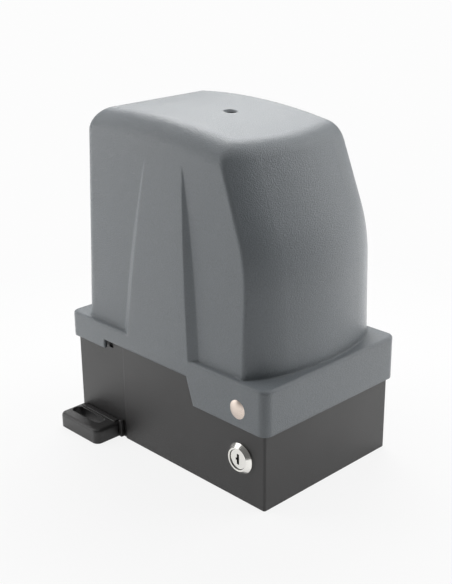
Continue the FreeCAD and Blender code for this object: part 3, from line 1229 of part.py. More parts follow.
def involute_outline(teeth, module):
    """Closed outline of involute teeth, three points up each flank."""
    pitch = module * teeth / 2
    base = pitch * math.cos(math.radians(PRESSURE_ANGLE))
    root = pitch - 1.25 * module
    tip = pitch + module
    pressure = math.tan(math.radians(PRESSURE_ANGLE)) - math.radians(PRESSURE_ANGLE)
    half_tooth = math.pi / (2 * teeth)
    flank = [(root, half_tooth + pressure)]
    for share in (0.0, 0.5, 1.0):
        radius = max(base, root) + share * (tip - max(base, root))
        angle = math.acos(base / radius)
        flank.append((radius, half_tooth + pressure - (math.tan(angle) - angle)))
    points = []
    for i in range(teeth):
        centre = 2 * math.pi * i / teeth
        points += [(r * math.cos(centre - a), r * math.sin(centre - a)) for r, a in flank]
        points += [(r * math.cos(centre + a), r * math.sin(centre + a)) for r, a in reversed(flank)]
    return points


def pinion():
    outline = [(SHAFT_X + x, SHAFT_HEIGHT + z) for x, z in involute_outline(PINION_TEETH, PINION_MODULE)]
    gear = prism_y(outline, PINION_START_Y, PINION_END_Y)
    hub = rod_y(SHAFT_X, SHAFT_HEIGHT, PINION_HUB_RADIUS, PINION_START_Y - PINION_HUB_LENGTH, PINION_START_Y)
    bore = rod_y(SHAFT_X, SHAFT_HEIGHT, OUTPUT_RADIUS, HALF_WIDTH, PINION_END_Y + 1)
    return gear.fuse(hub).cut([bore, key_block()]).removeSplitter()


def pinion_screw():
    seat = PINION_END_Y + PINION_WASHER_THICKNESS
    washer = rod_y(SHAFT_X, SHAFT_HEIGHT, PINION_WASHER_RADIUS, PINION_END_Y, seat)
    head = hexagon_y(SHAFT_X, SHAFT_HEIGHT, PINION_SCREW_HEAD, seat, seat + PINION_SCREW_HEIGHT)
    return washer.fuse(head).removeSplitter()


# ------------------------------------------------------------------ motor
def motor_bolt_places():
    reach = MOTOR_OUTSIDE + MOTOR_BOLT_REACH
    angles = [math.radians(45 + 90 * i) for i in range(4)]
    return [(WORM_X + reach * math.cos(a), WORM_Y + reach * math.sin(a)) for a in angles]


def motor_housing():
    body = rod_z(WORM_X, WORM_Y, MOTOR_OUTSIDE, FLANGE_TOP, MOTOR_TOP)
    fins = []
    for i in range(MOTOR_FINS):
        fin = block(WORM_X + MOTOR_RADIUS, WORM_X + MOTOR_REACH, WORM_Y - FIN_THICKNESS / 2,
                    WORM_Y + FIN_THICKNESS / 2, FLANGE_TOP + FIN_MARGIN, MOTOR_TOP - FIN_MARGIN)
        fin.rotate(Vector(WORM_X, WORM_Y, 0), Vector(0, 0, 1), 360.0 * (i + 0.5) / MOTOR_FINS)
        fins.append(fin)
    bosses = [rod_z(x, y, MOTOR_BOLT_BOSS, FLANGE_TOP, MOTOR_TOP) for x, y in motor_bolt_places()]
    body = body.fuse(fins + bosses).cut(rod_z(WORM_X, WORM_Y, MOTOR_RADIUS, FLANGE_TOP - 1, MOTOR_TOP + 1))
    for x, y in motor_bolt_places():
        body = body.cut(rod_z(x, y, MOTOR_BOLT_RADIUS + BOLT_FIT, FLANGE_TOP - 1, MOTOR_TOP + 1))
    return body.removeSplitter()


def motor_bell():
    """Top end shield with vent slots and the upper bearing seat."""
    inside = MOTOR_OUTSIDE - BELL_WALL
    dish = rod_z(WORM_X, WORM_Y, MOTOR_OUTSIDE, MOTOR_TOP, BELL_TOP)
    top_edges = edges_where(dish, lambda e, m: m.z > BELL_TOP - 0.1 and len(e.Vertexes) < 2)
    dish = dish.makeFillet(BELL_ROUND, top_edges)
    dish = dish.cut(rod_z(WORM_X, WORM_Y, inside, MOTOR_TOP - 1, BELL_TOP - BELL_WALL))
    lug_top = MOTOR_TOP + MOTOR_LUG_HEIGHT
    lugs = [rod_z(x, y, MOTOR_BOLT_BOSS, MOTOR_TOP, lug_top) for x, y in motor_bolt_places()]
    seat = rod_z(WORM_X, WORM_Y, TOP_BEARING_RADIUS + BELL_WALL, BELL_BEARING_START, BELL_TOP - BELL_LIP)
    dish = dish.fuse(lugs + [seat])
    cuts = [rod_z(WORM_X, WORM_Y, TOP_BEARING_RADIUS + SEAT_FIT, BELL_BEARING_START - 1, BELL_TOP - BELL_LIP),
            rod_z(WORM_X, WORM_Y, ROTOR_END_RADIUS + BELL_HOLE_GAP, MOTOR_TOP, BELL_TOP + 1)]
    for i in range(BELL_SLOTS):
        vent = block(WORM_X + TOP_BEARING_RADIUS + BELL_WALL + BELL_VENT_MARGIN,
                     WORM_X + inside - BELL_VENT_MARGIN, WORM_Y - BELL_SLOT_WIDTH / 2,
                     WORM_Y + BELL_SLOT_WIDTH / 2, BELL_TOP - BELL_WALL - 1, BELL_TOP + 1)
        vent.rotate(Vector(WORM_X, WORM_Y, 0), Vector(0, 0, 1), 360.0 * (i + 0.5) / BELL_SLOTS)
        cuts.append(vent)
    for x, y in motor_bolt_places():
        cuts.append(rod_z(x, y, MOTOR_BOLT_RADIUS + BOLT_FIT, MOTOR_TOP - 1, BELL_TOP))
        cuts.append(rod_z(x, y, MOTOR_BOLT_BOSS, lug_top, BELL_TOP + 1))
    for shape in cuts:
        dish = dish.cut(shape)
    return dish.removeSplitter()


def motor_bolts():
    seat = MOTOR_TOP + MOTOR_LUG_HEIGHT
    bolts = []
    for x, y in motor_bolt_places():
        shank = rod_z(x, y, MOTOR_BOLT_RADIUS, FLANGE_UNDER, seat)
        head = hexagon_z(x, y, MOTOR_BOLT_HEAD, seat, seat + MOTOR_BOLT_HEAD_HEIGHT)
        bolts.append(shank.fuse(head).removeSplitter())
    return bolts


def stator_windings():
    """End turns above and below the stack, each a rounded hoop."""
    hoops = []
    for low, end in ((STATOR_BOTTOM - WINDING_HEIGHT, STATOR_BOTTOM - WINDING_HEIGHT),
                     (STATOR_TOP, STATOR_TOP + WINDING_HEIGHT)):
        hoop = ring_z(WORM_X, WORM_Y, MOTOR_RADIUS - WINDING_GAP, STATOR_BORE + WINDING_GAP,
                      low, low + WINDING_HEIGHT)
        hoops.append(hoop.makeFillet(WINDING_ROUND, edges_where(hoop, lambda e, m: abs(m.z - end) < 0.01)))
    return hoops


def rotor_core():
    return ring_z(WORM_X, WORM_Y, STATOR_BORE - AIR_GAP, ROTOR_RADIUS, STATOR_BOTTOM, STATOR_TOP)


def motor_fan():
    low = BELL_TOP + FAN_GAP
    top = low + FAN_HEIGHT
    hub = rod_z(WORM_X, WORM_Y, ROTOR_END_RADIUS + FAN_HUB_WALL, low, top)
    disc = rod_z(WORM_X, WORM_Y, FAN_RADIUS, low, low + BLADE_THICKNESS)
    blades = []
    for i in range(FAN_BLADES):
        blade = block(WORM_X + ROTOR_END_RADIUS, WORM_X + FAN_RADIUS - BLADE_MARGIN,
                      WORM_Y - BLADE_THICKNESS / 2, WORM_Y + BLADE_THICKNESS / 2, low, top - BLADE_MARGIN)
        blade.rotate(Vector(WORM_X, WORM_Y, 0), Vector(0, 0, 1), 360.0 * i / FAN_BLADES)
        blades.append(blade)
    return fused([hub, disc] + blades).cut(rod_z(WORM_X, WORM_Y, ROTOR_END_RADIUS, low - 1, top + 1))


def cover_post():
    """Bracket on the end shield that takes the cover's top screw."""
    top = SCREW_BOSS_BOTTOM - SEAT_GAP
    post = rod_z(COVER_SCREW_X, 0, POST_RADIUS, BELL_TOP, top)
    plate = block(COVER_SCREW_X - POST_RADIUS, COVER_SCREW_X + POST_RADIUS, -POST_RADIUS,
                  WORM_Y + POST_PLATE_REACH, BELL_TOP, BELL_TOP + POST_PLATE)
    hole = rod_z(COVER_SCREW_X, 0, COVER_SCREW_DIAMETER / 2 + SCREW_FIT, top - SCREW_THREAD_DEPTH, top + 1)
    return post.fuse(plate).cut(hole).removeSplitter()


# ------------------------------------------------------------------ electrical pieces
def transformer_core():
    half = CORE_WIDTH / 2
    core = block(CORE_REAR, CORE_FRONT, CORE_Y - half, CORE_Y + half, CORE_BOTTOM, CORE_TOP)
    window = CORE_WIDTH / 6
    for side in (-1, 1):
        y = CORE_Y + side * CORE_WIDTH / 4
        core = core.cut(block(CORE_REAR - 1, CORE_FRONT + 1, y - window / 2, y + window / 2,
                              CORE_BOTTOM + window, CORE_TOP - window))
    reach = half + CORE_PLATE_MARGIN
    plate = block(CORE_REAR, CORE_FRONT, CORE_Y - reach, CORE_Y + reach, BASE_FLOOR, CORE_BOTTOM)
    return core.fuse(plate).removeSplitter()


def transformer_coil():
    window = CORE_WIDTH / 6
    leg = CORE_WIDTH / 4 - window / 2
    low = CORE_BOTTOM + window
    high = CORE_TOP - window
    outer = block(COIL_REAR, COIL_FRONT, CORE_Y - leg - window, CORE_Y + leg + window, low, high)
    outer = outer.makeFillet(COIL_ROUND, edges_where(outer, lambda e, m: upright(e)))
    return outer.cut(block(CORE_REAR, CORE_FRONT, CORE_Y - leg, CORE_Y + leg, low - 1, high + 1))


def capacitor():
    top = BASE_FLOOR + CAPACITOR_HEIGHT
    body = rod_z(CAPACITOR_X, CAPACITOR_Y, CAPACITOR_RADIUS, BASE_FLOOR, top)
    rim = edges_where(body, lambda e, m: m.z > top - 1 and len(e.Vertexes) < 2)
    body = body.makeFillet(CAPACITOR_ROUND, rim)
    tags = []
    for x in (CAPACITOR_X - TAG_SPACING / 2, CAPACITOR_X + TAG_SPACING / 2):
        tags.append(block(x - TAG_THICKNESS / 2, x + TAG_THICKNESS / 2, CAPACITOR_Y - TAG_WIDTH / 2,
                          CAPACITOR_Y + TAG_WIDTH / 2, top - 1, top + TAG_HEIGHT))
    return body.fuse(tags).removeSplitter()


def capacitor_clamp():
    low = BASE_FLOOR + CAPACITOR_HEIGHT * CLAMP_SHARE
    high = low + CLAMP_WIDTH
    band = rod_z(CAPACITOR_X, CAPACITOR_Y, CAPACITOR_RADIUS + CLAMP_WALL, low, high)
    tab = block(CAPACITOR_X - CLAMP_WIDTH / 2, CAPACITOR_X + CLAMP_WIDTH / 2, CAPACITOR_Y, INNER_Y, low, high)
    hole = rod_z(CAPACITOR_X, CAPACITOR_Y, CAPACITOR_RADIUS, low - 1, high + 1)
    return band.fuse(tab).cut(hole).removeSplitter()


def board_carrier():
    """Upright plastic tray behind the board, on one leg and on the motor flange."""
    front = CARRIER_Y - CARRIER_THICKNESS
    rim_y = front - CARRIER_RIM_DEPTH
    plate = block(CARRIER_REAR, CARRIER_FRONT, front, CARRIER_Y, CARRIER_BOTTOM, CARRIER_TOP)
    rims = [block(CARRIER_REAR, CARRIER_FRONT, rim_y, front, low, low + CARRIER_RIM)
            for low in (CARRIER_BOTTOM, CARRIER_TOP - CARRIER_RIM)]
    rims += [block(x, x + CARRIER_RIM, rim_y, front, CARRIER_BOTTOM, CARRIER_TOP)
             for x in (CARRIER_REAR, CARRIER_FRONT - CARRIER_RIM)]
    leg_x = COIL_FRONT + COIL_GAP
    leg = block(leg_x, leg_x + CARRIER_LEG, front, CARRIER_Y + CARRIER_THICKNESS, BASE_FLOOR, CARRIER_BOTTOM)
    shoe = block(leg_x, leg_x + CARRIER_LEG, front - CARRIER_LEG_DEPTH, CARRIER_Y + CARRIER_THICKNESS,
                 BASE_FLOOR, BASE_FLOOR + CARRIER_THICKNESS)
    hook = block(WORM_X - CARRIER_HOOK, CARRIER_FRONT, front, WORM_Y - MOTOR_REACH - CARRIER_HOOK_GAP,
                 FLANGE_TOP, FLANGE_TOP + CARRIER_THICKNESS)
    riser = block(WORM_X - CARRIER_HOOK, CARRIER_FRONT, front, CARRIER_Y, FLANGE_TOP, CARRIER_BOTTOM)
    return fused([plate, leg, shoe, hook, riser] + rims)


def board_box():
    """The board's corners as x0, x1, y0, y1, z0, z1."""
    back = CARRIER_Y - CARRIER_THICKNESS - STANDOFF
    return (CARRIER_REAR + BOARD_MARGIN, CARRIER_FRONT - BOARD_MARGIN, back - BOARD_THICKNESS, back,
            CARRIER_BOTTOM + BOARD_MARGIN, CARRIER_TOP - BOARD_MARGIN)


def board_corners():
    x0, x1, y0, y1, z0, z1 = board_box()
    return [(x, z) for x in (x0 + BOARD_CORNER, x1 - BOARD_CORNER)
            for z in (z0 + BOARD_CORNER, z1 - BOARD_CORNER)]


def control_board():
    x0, x1, y0, y1, z0, z1 = board_box()
    board = block(x0, x1, y0, y1, z0, z1)
    return board.cut([rod_y(x, z, BOARD_SCREW_RADIUS, y0 - 1, y1 + 1) for x, z in board_corners()])


def board_screws():
    x0, x1, y0, y1, z0, z1 = board_box()
    screws = []
    for x, z in board_corners():
        spacer = rod_y(x, z, BOARD_HEAD_RADIUS, y1, y1 + STANDOFF)
        shank = rod_y(x, z, BOARD_SCREW_RADIUS, y0, y1)
        screws.append(fused([spacer, shank, rod_y(x, z, BOARD_HEAD_RADIUS, y0 - BOARD_HEAD_HEIGHT, y0)]))
    return screws


def row_on_board(length, height, depth, count, start_x, gap, low_z):
    """A row of equal blocks on the face of the board."""
    face = board_box()[2]
    blocks = []
    for i in range(count):
        x = start_x + i * (length + gap)
        body = block(x, x + length, face - depth, face, low_z, low_z + height)
        outer = edges_where(body, lambda e, m: m.y < face - depth + 0.01)
        blocks.append(body.makeChamfer(PART_CHAMFER, outer))
    return blocks


def relays():
    x0, x1, y0, y1, z0, z1 = board_box()
    return row_on_board(RELAY_LENGTH, RELAY_HEIGHT, RELAY_DEPTH, RELAYS, x0 + RELAY_INSET, RELAY_GAP,
                        z0 + RELAY_LIFT)


def terminal_blocks():
    x0, x1, y0, y1, z0, z1 = board_box()
    length = (x1 - x0 - (TERMINALS + 1) * TERMINAL_GAP) / TERMINALS
    blocks = []
    for body in row_on_board(length, TERMINAL_HEIGHT, TERMINAL_DEPTH, TERMINALS, x0 + TERMINAL_GAP,
                             TERMINAL_GAP, z0 + TERMINAL_LIFT):
        box = body.BoundBox
        ways = [rod_z(box.XMin + (i + 0.5) * length / POLES, box.YMin + POLE_INSET, POLE_RADIUS, box.ZMin - 1,
                      box.ZMin + POLE_DEPTH) for i in range(POLES)]
        blocks.append(body.cut(ways))
    return blocks


def heat_sink():
    x0, x1, y0, y1, z0, z1 = board_box()
    right = x1 - SINK_INSET
    left = right - SINK_WIDTH
    top = z1 - SINK_DROP
    low = top - SINK_HEIGHT
    step = (SINK_WIDTH - SINK_FIN) / (SINK_FINS - 1)
    fins = [block(left + i * step, left + i * step + SINK_FIN, y0 - SINK_DEPTH, y0, low, top)
            for i in range(SINK_FINS)]
    return fused([block(left, right, y0 - SINK_BASE, y0, low, top)] + fins)


def fuse_holder():
    x0, x1, y0, y1, z0, z1 = board_box()
    left = x0 + FUSE_INSET
    right = left + FUSE_LENGTH
    top = z1 - FUSE_DROP
    low = top - FUSE_HEIGHT
    tube = rod_x(y0 - (FUSE_BASE + FUSE_DEPTH) / 2, low + FUSE_HEIGHT / 2, FUSE_RADIUS, left + 1, right - 1)
    return fused([block(left, right, y0 - FUSE_BASE, y0, low, top), tube,
                  block(left, left + FUSE_CLIP, y0 - FUSE_DEPTH, y0, low, top),
                  block(right - FUSE_CLIP, right, y0 - FUSE_DEPTH, y0, low, top)])


def limit_sensor():
    """Magnetic end-of-travel sensor on the inside of the gate-side wall."""
    face = INNER_Y - SENSOR_DEPTH
    body = block(SHAFT_X - SENSOR_WIDTH / 2, SHAFT_X + SENSOR_WIDTH / 2, face, INNER_Y,
                 SHAFT_HEIGHT + NOSE_RADIUS + SENSOR_GAP, BASE_HEIGHT - SENSOR_DROP)
    return body.makeFillet(SENSOR_ROUND, edges_where(body, lambda e, m: m.y < face + 0.1))


# ------------------------------------------------------------------ write the nodes
os.makedirs("parts", exist_ok=True)

save("base_housing", base_housing())
save("cable_grommet", cable_grommet())
save("cover_shell", cover_shell())
save("cover_screw", cover_screw())
save("collar_plug", collar_plug())
save("lock_body", lock_body())
save("lock_nut", lock_nut())
save("lock_plug", lock_plug())
save("lock_cam", lock_cam())
save("release_bar", release_bar())
save("bar_guides", bar_guides())
save("release_fork", release_fork())
save("fork_rod", fork_rod())
save("clutch_dog", clutch_dog())
save("worm_wheel", worm_wheel())
save("wheel_hub", wheel_hub())
save("worm_shaft", worm_shaft())
save("gear_case", gear_case())
save("gear_case_lid", gear_case_lid())
save("lid_screws", lid_screws())
save("case_bolts", case_bolts())
save("hub_bearing", bearing_y(HUB_BEARING_RADIUS, HUB_RADIUS, HUB_BEARING_END_Y, HUB_BEARING_WIDTH))
save("shaft_bearing", bearing_y(NOSE_BEARING_RADIUS, OUTPUT_RADIUS, NOSE_BEARING_START, NOSE_BEARING_WIDTH))
save("shaft_seal", bearing_y(NOSE_BEARING_RADIUS, OUTPUT_RADIUS, BEARING_END_Y, SEAL_WIDTH))
save("worm_bearing", bearing_z(LOWER_BEARING_RADIUS, ROTOR_END_RADIUS, LOWER_BEARING_START,
                               LOWER_BEARING_WIDTH))
save("flange_bearing", bearing_z(ROTOR_BEARING_RADIUS, ROTOR_RADIUS, FLANGE_TOP - ROTOR_BEARING_WIDTH,
                                 ROTOR_BEARING_WIDTH))
save("bell_bearing", bearing_z(TOP_BEARING_RADIUS, ROTOR_END_RADIUS, BELL_BEARING_START, TOP_BEARING_WIDTH))
save("output_shaft", output_shaft())
save("shaft_key", key_block())
save("circlip", circlip())
save("pinion", pinion())
save("pinion_screw", pinion_screw())
save("motor_housing", motor_housing())
save("motor_bell", motor_bell())
save("motor_bolts", motor_bolts())
save("stator_core", ring_z(WORM_X, WORM_Y, MOTOR_RADIUS, STATOR_BORE, STATOR_BOTTOM, STATOR_TOP))
save("stator_windings", stator_windings())
save("rotor_core", rotor_core())
save("motor_fan", motor_fan())
save("cover_post", cover_post())
save("transformer_core", transformer_core())
save("transformer_coil", transformer_coil())
save("capacitor", capacitor())
save("capacitor_clamp", capacitor_clamp())
save("board_carrier", board_carrier())
save("control_board", control_board())
save("board_screws", board_screws())
save("relays", relays())
save("terminal_blocks", terminal_blocks())
save("heat_sink", heat_sink())
save("fuse_holder", fuse_holder())
save("limit_sensor", limit_sensor())
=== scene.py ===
"""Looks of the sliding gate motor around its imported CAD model."""

import json
import math

import bmesh
import bpy
from mathutils import Matrix, Vector


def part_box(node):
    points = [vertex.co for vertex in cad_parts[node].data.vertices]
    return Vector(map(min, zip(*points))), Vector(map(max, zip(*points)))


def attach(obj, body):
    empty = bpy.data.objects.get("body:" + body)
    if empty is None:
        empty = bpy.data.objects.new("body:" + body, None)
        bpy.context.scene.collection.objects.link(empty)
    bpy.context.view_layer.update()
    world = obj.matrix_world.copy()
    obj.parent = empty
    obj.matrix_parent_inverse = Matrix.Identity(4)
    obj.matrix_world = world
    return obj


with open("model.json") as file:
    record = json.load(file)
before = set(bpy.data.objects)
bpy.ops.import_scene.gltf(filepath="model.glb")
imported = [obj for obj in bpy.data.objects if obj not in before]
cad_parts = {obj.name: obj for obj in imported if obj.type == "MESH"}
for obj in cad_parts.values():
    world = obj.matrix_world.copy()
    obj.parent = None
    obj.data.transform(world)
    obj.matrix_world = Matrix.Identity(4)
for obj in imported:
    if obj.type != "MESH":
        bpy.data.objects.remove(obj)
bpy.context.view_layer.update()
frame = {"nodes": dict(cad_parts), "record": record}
nodes = frame["nodes"]

# ------------------------------------------------------------------ camera
CAMERA_AZIMUTH = 45.97      # degrees, from -Y towards +X
CAMERA_ELEVATION = 20.83    # degrees above the floor
CAMERA_ROLL = -0.52         # degrees about the line of sight
CAMERA_PLACE = (0.6398, -0.6210, 0.4782)
CAMERA_LENS = 65.6          # mm
SENSOR_WIDTH = 36.0         # mm
CLIP_START = 0.01


def make_camera():
    """One camera on the lock side, in front of the bulging face."""
    azimuth = math.radians(CAMERA_AZIMUTH)
    elevation = math.radians(CAMERA_ELEVATION)
    back = Vector((
        math.sin(azimuth) * math.cos(elevation),
        -math.cos(azimuth) * math.cos(elevation),
        math.sin(elevation),
    ))
    right = Vector((0, 0, 1)).cross(back).normalized()
    up = back.cross(right)
    turn = Matrix.Rotation(math.radians(CAMERA_ROLL), 3, back)
    right = turn @ right
    up = turn @ up
    data = bpy.data.cameras.new("camera")
    data.lens = CAMERA_LENS
    data.sensor_width = SENSOR_WIDTH
    data.clip_start = CLIP_START
    camera = bpy.data.objects.new("camera", data)
    rotation = Matrix((right, up, back)).transposed().to_4x4()
    camera.matrix_world = Matrix.Translation(CAMERA_PLACE) @ rotation
    bpy.context.scene.collection.objects.link(camera)
    bpy.context.scene.camera = camera


# ------------------------------------------------------------------ node helpers
def new_material(name):
    """A material that holds only a shader and the output."""
    material = bpy.data.materials.new(name)
    material.use_nodes = True
    tree = material.node_tree
    tree.nodes.clear()
    output = tree.nodes.new("ShaderNodeOutputMaterial")
    shader = tree.nodes.new("ShaderNodeBsdfPrincipled")
    tree.links.new(shader.outputs["BSDF"], output.inputs["Surface"])
    return material, tree, shader


def add_node(tree, kind, **settings):
    """A node whose settings are inputs where it has such an input, and attributes otherwise."""
    node = tree.nodes.new(kind)
    for key, value in settings.items():
        if key in node.inputs:
            node.inputs[key].default_value = value
        else:
            setattr(node, key, value)
    return node


def noise(tree, scale, detail=3.0, roughness=0.55, stretch=None):
    """Noise in object space; stretch squeezes it along an axis."""
    coords = tree.nodes.new("ShaderNodeTexCoord")
    texture = add_node(tree, "ShaderNodeTexNoise", Scale=scale, Detail=detail, Roughness=roughness)
    if stretch:
        mapping = add_node(tree, "ShaderNodeMapping", Scale=stretch)
        tree.links.new(coords.outputs["Object"], mapping.inputs["Vector"])
        tree.links.new(mapping.outputs["Vector"], texture.inputs["Vector"])
    else:
        tree.links.new(coords.outputs["Object"], texture.inputs["Vector"])
    return texture


def ramp(tree, source, low, high, dark, light):
    """Map a factor from low..high to two colours."""
    node = tree.nodes.new("ShaderNodeValToRGB")
    node.color_ramp.elements[0].position = low
    node.color_ramp.elements[0].color = (*dark, 1)
    node.color_ramp.elements[1].position = high
    node.color_ramp.elements[1].color = (*light, 1)
    tree.links.new(source, node.inputs["Fac"])
    return node.outputs["Color"]


def level(tree, source, low, high, to_low, to_high):
    """Map a factor from low..high to to_low..to_high."""
    node = tree.nodes.new("ShaderNodeMapRange")
    node.inputs["From Min"].default_value = low
    node.inputs["From Max"].default_value = high
    node.inputs["To Min"].default_value = to_low
    node.inputs["To Max"].default_value = to_high
    tree.links.new(source, node.inputs["Value"])
    return node.outputs["Result"]


def bump(tree, shader, layers, edge=0.0):
    """Stack height layers (source, distance) into the shader's normal; edge softens corners."""
    last = None
    if edge:
        rounded = add_node(tree, "ShaderNodeBevel", Radius=edge, samples=EDGE_SAMPLES)
        last = rounded.outputs["Normal"]
    for source, distance in layers:
        node = add_node(tree, "ShaderNodeBump", Strength=1.0, Distance=distance)
        tree.links.new(source, node.inputs["Height"])
        if last:
            tree.links.new(last, node.inputs["Normal"])
        last = node.outputs["Normal"]
    tree.links.new(last, shader.inputs["Normal"])


def tint(colour, factor):
    """The colour times a factor, kept within white."""
    return tuple(min(1.0, c * factor) for c in colour)


# ------------------------------------------------------------------ materials
EDGE_SAMPLES = 6
BLOTCH_SPAN = (0.3, 0.7)        # the part of a blotch noise that is spread over its whole effect
BLOTCH_SCALE = 9.0              # flow blotches of plastic
POLISH_SCALE = 40.0             # uneven polish of metal
SPECK_SPAN = (0.35, 0.65)
SPECK_SHADE = 0.89              # how dark the pits of the grain get
SPECK_FINENESS = 2.6            # second grain against the first
SPECK_DEPTH = 0.4
METAL_CONTRAST = 0.08
WHITE = (1.0, 1.0, 1.0)


def moulded(name, colour, roughness, grain, depth, contrast=0.06, specular=0.5, edge=0.0):
    """Moulded plastic: spark-eroded grain, faint flow blotches, dusty wear."""
    material, tree, shader = new_material(name)
    blotch = noise(tree, BLOTCH_SCALE).outputs["Fac"]
    fine = noise(tree, grain, 2.0, 0.6).outputs["Fac"]
    speck = noise(tree, grain * SPECK_FINENESS, 1.0).outputs["Fac"]
    base = ramp(tree, blotch, *BLOTCH_SPAN, tint(colour, 1 - contrast), tint(colour, 1 + contrast))
    shade = add_node(tree, "ShaderNodeMix", data_type="RGBA", blend_type="MULTIPLY", Factor=1.0)
    specks = ramp(tree, fine, *SPECK_SPAN, tint(WHITE, SPECK_SHADE), WHITE)
    tree.links.new(base, shade.inputs["A"])
    tree.links.new(specks, shade.inputs["B"])
    tree.links.new(shade.outputs["Result"], shader.inputs["Base Color"])
    rough = level(tree, blotch, *BLOTCH_SPAN, roughness - 0.04, roughness + 0.05)
    tree.links.new(rough, shader.inputs["Roughness"])
    shader.inputs["Specular IOR Level"].default_value = specular
    bump(tree, shader, [(fine, depth), (speck, depth * SPECK_DEPTH)], edge)
    return material


def metal(name, colour, roughness, grain=700.0, stretch=None, depth=0.00002, metallic=1.0):
    """Metal with brushed or cast grain and uneven polish."""
    material, tree, shader = new_material(name)
    fine = noise(tree, grain, 3.0, 0.6, stretch).outputs["Fac"]
    blotch = noise(tree, POLISH_SCALE).outputs["Fac"]
    dark, light = tint(colour, 1 - METAL_CONTRAST), tint(colour, 1 + METAL_CONTRAST)
    tree.links.new(ramp(tree, blotch, *BLOTCH_SPAN, dark, light), shader.inputs["Base Color"])
    rough = level(tree, blotch, *BLOTCH_SPAN, roughness * 0.8, roughness * 1.25)
    tree.links.new(rough, shader.inputs["Roughness"])
    shader.inputs["Metallic"].default_value = metallic
    bump(tree, shader, [(fine, depth)])
    return material


# name: colour, roughness, grain scale, grain depth and, where it differs, contrast, specular, edge
PLASTICS = {
    "cover_plastic": ((0.178, 0.197, 0.212), 0.38, 900.0, 0.0004, 0.06, 0.5, 0.003),
    "base_plastic": ((0.028, 0.027, 0.027), 0.40, 1200.0, 0.0002, 0.06, 0.4, 0.0012),
    "rubber": ((0.022, 0.022, 0.022), 0.62, 700.0, 0.00005),
    "tray_plastic": ((0.055, 0.055, 0.060), 0.50, 900.0, 0.00006),
    "circuit_board": ((0.015, 0.110, 0.050), 0.30, 400.0, 0.00002, 0.15),
    "relay_plastic": ((0.030, 0.030, 0.034), 0.25, 900.0, 0.00002),
    "terminal_plastic": ((0.040, 0.220, 0.100), 0.42, 900.0, 0.00003),
    "capacitor_skin": ((0.70, 0.70, 0.68), 0.35, 900.0, 0.00002),
    "fan_plastic": ((0.10, 0.10, 0.10), 0.45, 900.0, 0.00004),
    "glass_fuse": ((0.60, 0.60, 0.58), 0.15, 900.0, 0.00001),
}
# name: colour, roughness and, where they differ, grain scale, stretch, depth and metallic
METALS = {
    "nickel": ((0.64, 0.63, 0.60), 0.20, 700.0, None, 0.000005),
    "plug_metal": ((0.50, 0.43, 0.38), 0.28, 700.0, None, 0.000005),
    "steel": ((0.50, 0.50, 0.51), 0.34, 900.0, (1, 0.1, 1)),
    "zinc": ((0.46, 0.46, 0.44), 0.36),
    "dark_steel": ((0.06, 0.06, 0.065), 0.42, 700.0, None, 0.00002, 0.8),
    "casting": ((0.56, 0.57, 0.58), 0.52, 420.0, None, 0.0002),
    "bronze": ((0.60, 0.38, 0.16), 0.30),
    "copper": ((0.55, 0.20, 0.07), 0.34, 500.0, (0.2, 0.2, 3.0), 0.0002),
    "laminations": ((0.22, 0.22, 0.23), 0.50, 300.0, (0.05, 0.05, 6.0), 0.0002),
}
MATERIALS = {name: moulded(name, *values) for name, values in PLASTICS.items()}
MATERIALS.update((name, metal(name, *values)) for name, values in METALS.items())


def dress_nodes():
    """Each CAD node takes the material of its slot in the record."""
    for part in frame["record"]["subparts"]:
        mesh = nodes[part["node"]].data
        material = MATERIALS[part["material_slot"]]
        if not mesh.materials:
            mesh.materials.append(material)
        for index in range(len(mesh.materials)):
            mesh.materials[index] = material


# ------------------------------------------------------------------ small forms around the CAD
FOOT_REACH = 0.028        # the feet stand out this far from the side walls
FOOT_LENGTH = 0.057       # along X, from the base's rear
FOOT_TOP = 0.014          # height of a foot's top face
LIP_WIDTH = 0.005         # raised lip between a foot's slot and the wall
LIP_HEIGHT = 0.0012
STOP_GAP = 0.0012         # gap between a foot's end and the stop beside it
STOP_LENGTH = 0.0035
STOP_HEIGHT = 0.017
STOP_REACH = 0.0030
SINK = 0.0006             # pieces start this deep in the wall or foot
EDGE = 0.0004             # rounding of the pieces' edges
EDGE_SEGMENTS = 3
LOCK_GAP_SHADE_RADIUS = 0.0090      # painted shade of the gap round the lock's plug
LOCK_GAP_SHADE_WIDTH = 0.00045
LOCK_GAP_SHADE_RISE = 0.00008
RING_SEGMENTS = 64
HOLE_SHADE_INSIDE = 0.00435   # dark lining that paints the shade in the cover's top hole, clear of the screw's head
HOLE_SHADE_OUTSIDE = 0.00468
HOLE_SHADE_DROP = 0.0009      # the painted shade's middle lies this far below the top of the head
HOLE_SHADE_DEPTH = 0.0020


def finish_piece(name, work, material, body):
    """Turn a bmesh into a piece that rides a body."""
    bmesh.ops.recalc_face_normals(work, faces=work.faces)
    mesh = bpy.data.meshes.new(name)
    work.to_mesh(mesh)
    work.free()
    mesh.materials.append(MATERIALS[material])
    piece = bpy.data.objects.new(name, mesh)
    bpy.context.scene.collection.objects.link(piece)
    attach(piece, body)


def add_slab(work, low, high):
    """A block with rounded edges between two corners."""
    made = bmesh.ops.create_cube(work, size=1.0)
    middle = (Vector(low) + Vector(high)) / 2
    size = Vector(high) - Vector(low)
    for vert in made["verts"]:
        vert.co = Vector(c * s for c, s in zip(vert.co, size)) + middle
    edges = list({e for vert in made["verts"] for e in vert.link_edges})
    bmesh.ops.bevel(work, geom=edges, offset=EDGE, segments=EDGE_SEGMENTS, profile=0.5,
                    affect="EDGES")


